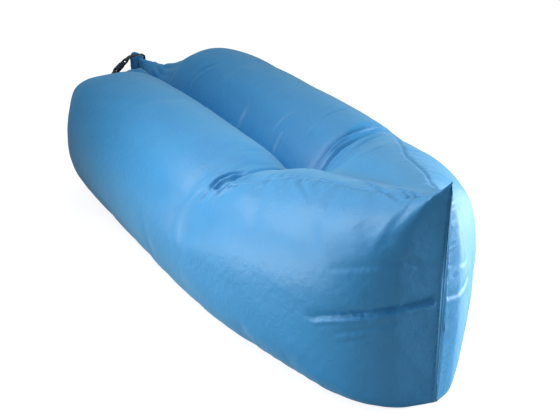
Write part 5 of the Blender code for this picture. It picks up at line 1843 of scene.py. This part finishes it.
@dataclass(frozen=True)
class Studio:
    """The pale floor, the soft lights and the camera at the photograph's angle."""

    camera_place: tuple[float, float, float] = (2.7905, -1.4367, 1.5689)
    camera_ground: tuple[float, float] = (-0.8754, 0.4834)
    camera_pitch: float = math.radians(25.24)
    lens: float = 67.5
    sensor_width: float = 36.0
    floor_half: float = 12.0
    floor_glow: float = 0.86
    floor_colour: str = "#A8A8A7"
    floor_roughness: float = 0.9
    floor_specular: float = 0.1
    ambient: float = 0.42
    reflected_colour: str = "#2C8CD0"
    softboxes: tuple[Softbox, ...] = (
        Softbox("key_softbox", (-0.20, -1.20, 1.70), (0.75, -0.30, 0.30), 1.0, 0.8, 4.2, math.radians(78)),
        Softbox("low_softbox", (0.00, -2.20, 0.45), (0.72, -0.35, 0.15), 1.2, 0.7, 2.6, math.radians(52)),
        Softbox("right_softbox", (1.35, 2.45, 0.65), (1.05, 0.1, 0.3), 1.0, 1.0, 16, math.radians(65)),
        Softbox("top_softbox", (-0.6, 0.3, 2.3), (0.4, 0.0, 0.45), 1.4, 1.2, 7.5, math.radians(150)),
    )

    def camera(self) -> None:
        """Sets the camera."""
        data = bpy.data.cameras.new("camera")
        data.lens, data.sensor_width = self.lens, self.sensor_width
        camera = add_object("camera", data)
        level = math.cos(self.camera_pitch)
        look = Vector((self.camera_ground[0] * level, self.camera_ground[1] * level, -math.sin(self.camera_pitch)))
        camera.location = self.camera_place
        camera.rotation_euler = look.to_track_quat("-Z", "Y").to_euler()
        bpy.context.scene.camera = camera

    def floor(self) -> None:
        """Lays a plain pale floor."""
        h = self.floor_half
        points = np.array([(-h, -h, 0), (h, -h, 0), (h, h, 0), (-h, h, 0)], float)
        paper = bpy.data.materials.new("pale_paper_sweep")
        paper.use_nodes = True
        tree = paper.node_tree
        shader = tree.nodes["Principled BSDF"]
        set_inputs(shader, {"Base Color": linear(self.floor_colour), "Roughness": self.floor_roughness,
                            "Specular IOR Level": self.floor_specular, "Emission Color": linear(WHITE)})
        seen = add_node(tree, "ShaderNodeLightPath").outputs["Is Camera Ray"]
        glow = add_node(tree, "ShaderNodeMapRange", values={"To Max": self.floor_glow}, links={"Value": seen})
        tree.links.new(glow.outputs["Result"], shader.inputs["Emission Strength"])
        make_object("floor", points, [[0, 1, 2, 3]], paper)

    def world(self) -> None:
        """Fills the surroundings with even light, white to the camera."""
        world = bpy.data.worlds.new("studio")
        bpy.context.scene.world = world
        world.use_nodes = True
        tree = world.node_tree
        background = tree.nodes["Background"]
        path = add_node(tree, "ShaderNodeLightPath")
        seen = add_node(tree, "ShaderNodeMath", {"operation": "MAXIMUM"},
                        links={0: path.outputs["Is Camera Ray"], 1: path.outputs["Is Transmission Ray"]})
        strength = add_node(tree, "ShaderNodeMapRange", values={"To Min": self.ambient, "To Max": 1.0},
                            links={"Value": seen.outputs[0]})
        tree.links.new(strength.outputs["Result"], background.inputs["Strength"])
        hue = add_node(tree, "ShaderNodeMix", {"data_type": "RGBA"},
                       {6: linear(WHITE), 7: linear(self.reflected_colour)}, {0: path.outputs["Is Glossy Ray"]})
        tree.links.new(hue.outputs[2], background.inputs["Color"])

    def build(self) -> None:
        """Adds everything round the object."""
        self.camera()
        self.floor()
        self.world()
        for softbox in self.softboxes:
            softbox.build()
        bpy.context.scene.view_settings.view_transform = "Standard"


def clear_startup() -> None:
    """Removes the startup objects."""
    for obj in list(bpy.data.objects):
        bpy.data.objects.remove(obj, do_unlink=True)


STITCH_START = 12 * MM
STITCH_STOP = 30 * MM
STITCH_OFFSET = 6 * MM
STITCH_LIFT = 0.15 * MM
STITCH_LINE_POINTS = 260


def sew_headrest(form: AirForm, covers: dict[Side, bpy.types.Object]) -> None:
    """Topstitches each leg's fabric along the headrest's side seam."""
    lines = []
    for side, cover in covers.items():
        x = form.row_places(form.seam_end_x + STITCH_START, form.stem_x - STITCH_STOP, STITCH_LINE_POINTS)
        reach = form.sections(side, x)["half_height"]
        points = form.place(side, x, form.edge_angle(side, x) + STITCH_OFFSET / reach)
        lines.append(on_fabric(cover, points, STITCH_LIFT))
    Stitching().build("headrest_topstitches", lines, THREAD, "ripstop", 5)


def dress_nodes(nodes: dict[str, bpy.types.Object]) -> None:
    """Gives the solids that stay visible their finishes."""
    strips = ("near_hem_stiffener", "far_hem_stiffener")
    moulded = ("buckle_male_frame", "buckle_female_body", "head_side_latch_arm", "foot_side_latch_arm")
    for names, finish in ((strips, STRIP), (moulded, ACETAL)):
        for name in names:
            for slot in nodes[name].material_slots:
                slot.material = finish.material()


def main() -> None:
    """Builds the scene."""
    logging.basicConfig(level=logging.INFO, format="%(name)s: %(message)s")
    clear_startup()
    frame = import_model()
    form = AirForm()
    relief = Relief(form)
    relief.add_seams()
    covers = {}
    for side, node in ((Side.NEAR, "near_leg_cover"), (Side.FAR, "far_leg_cover")):
        cover = LegCover(side, form, relief, node)
        covers[side] = cover.build()
        LOG.info("%s: %d faces", covers[side].name, len(covers[side].data.polygons))
        AirLiner(cover, node.replace("leg_cover", "air_liner")).build()
    panel = HeadrestPanel(form, relief).build()
    LOG.info("%s: %d faces", panel.name, len(panel.data.polygons))
    closure = Closure()
    Neck(form, closure).build()
    RolledMouth(closure).build()
    for side in Side:
        Strap(side, closure).build()
    StemSeam(form).build(covers)
    SeamTape(form).build()
    sew_headrest(form, covers)
    dress_nodes(frame["nodes"])
    Studio().build()


if __name__ == "__main__":
    main()
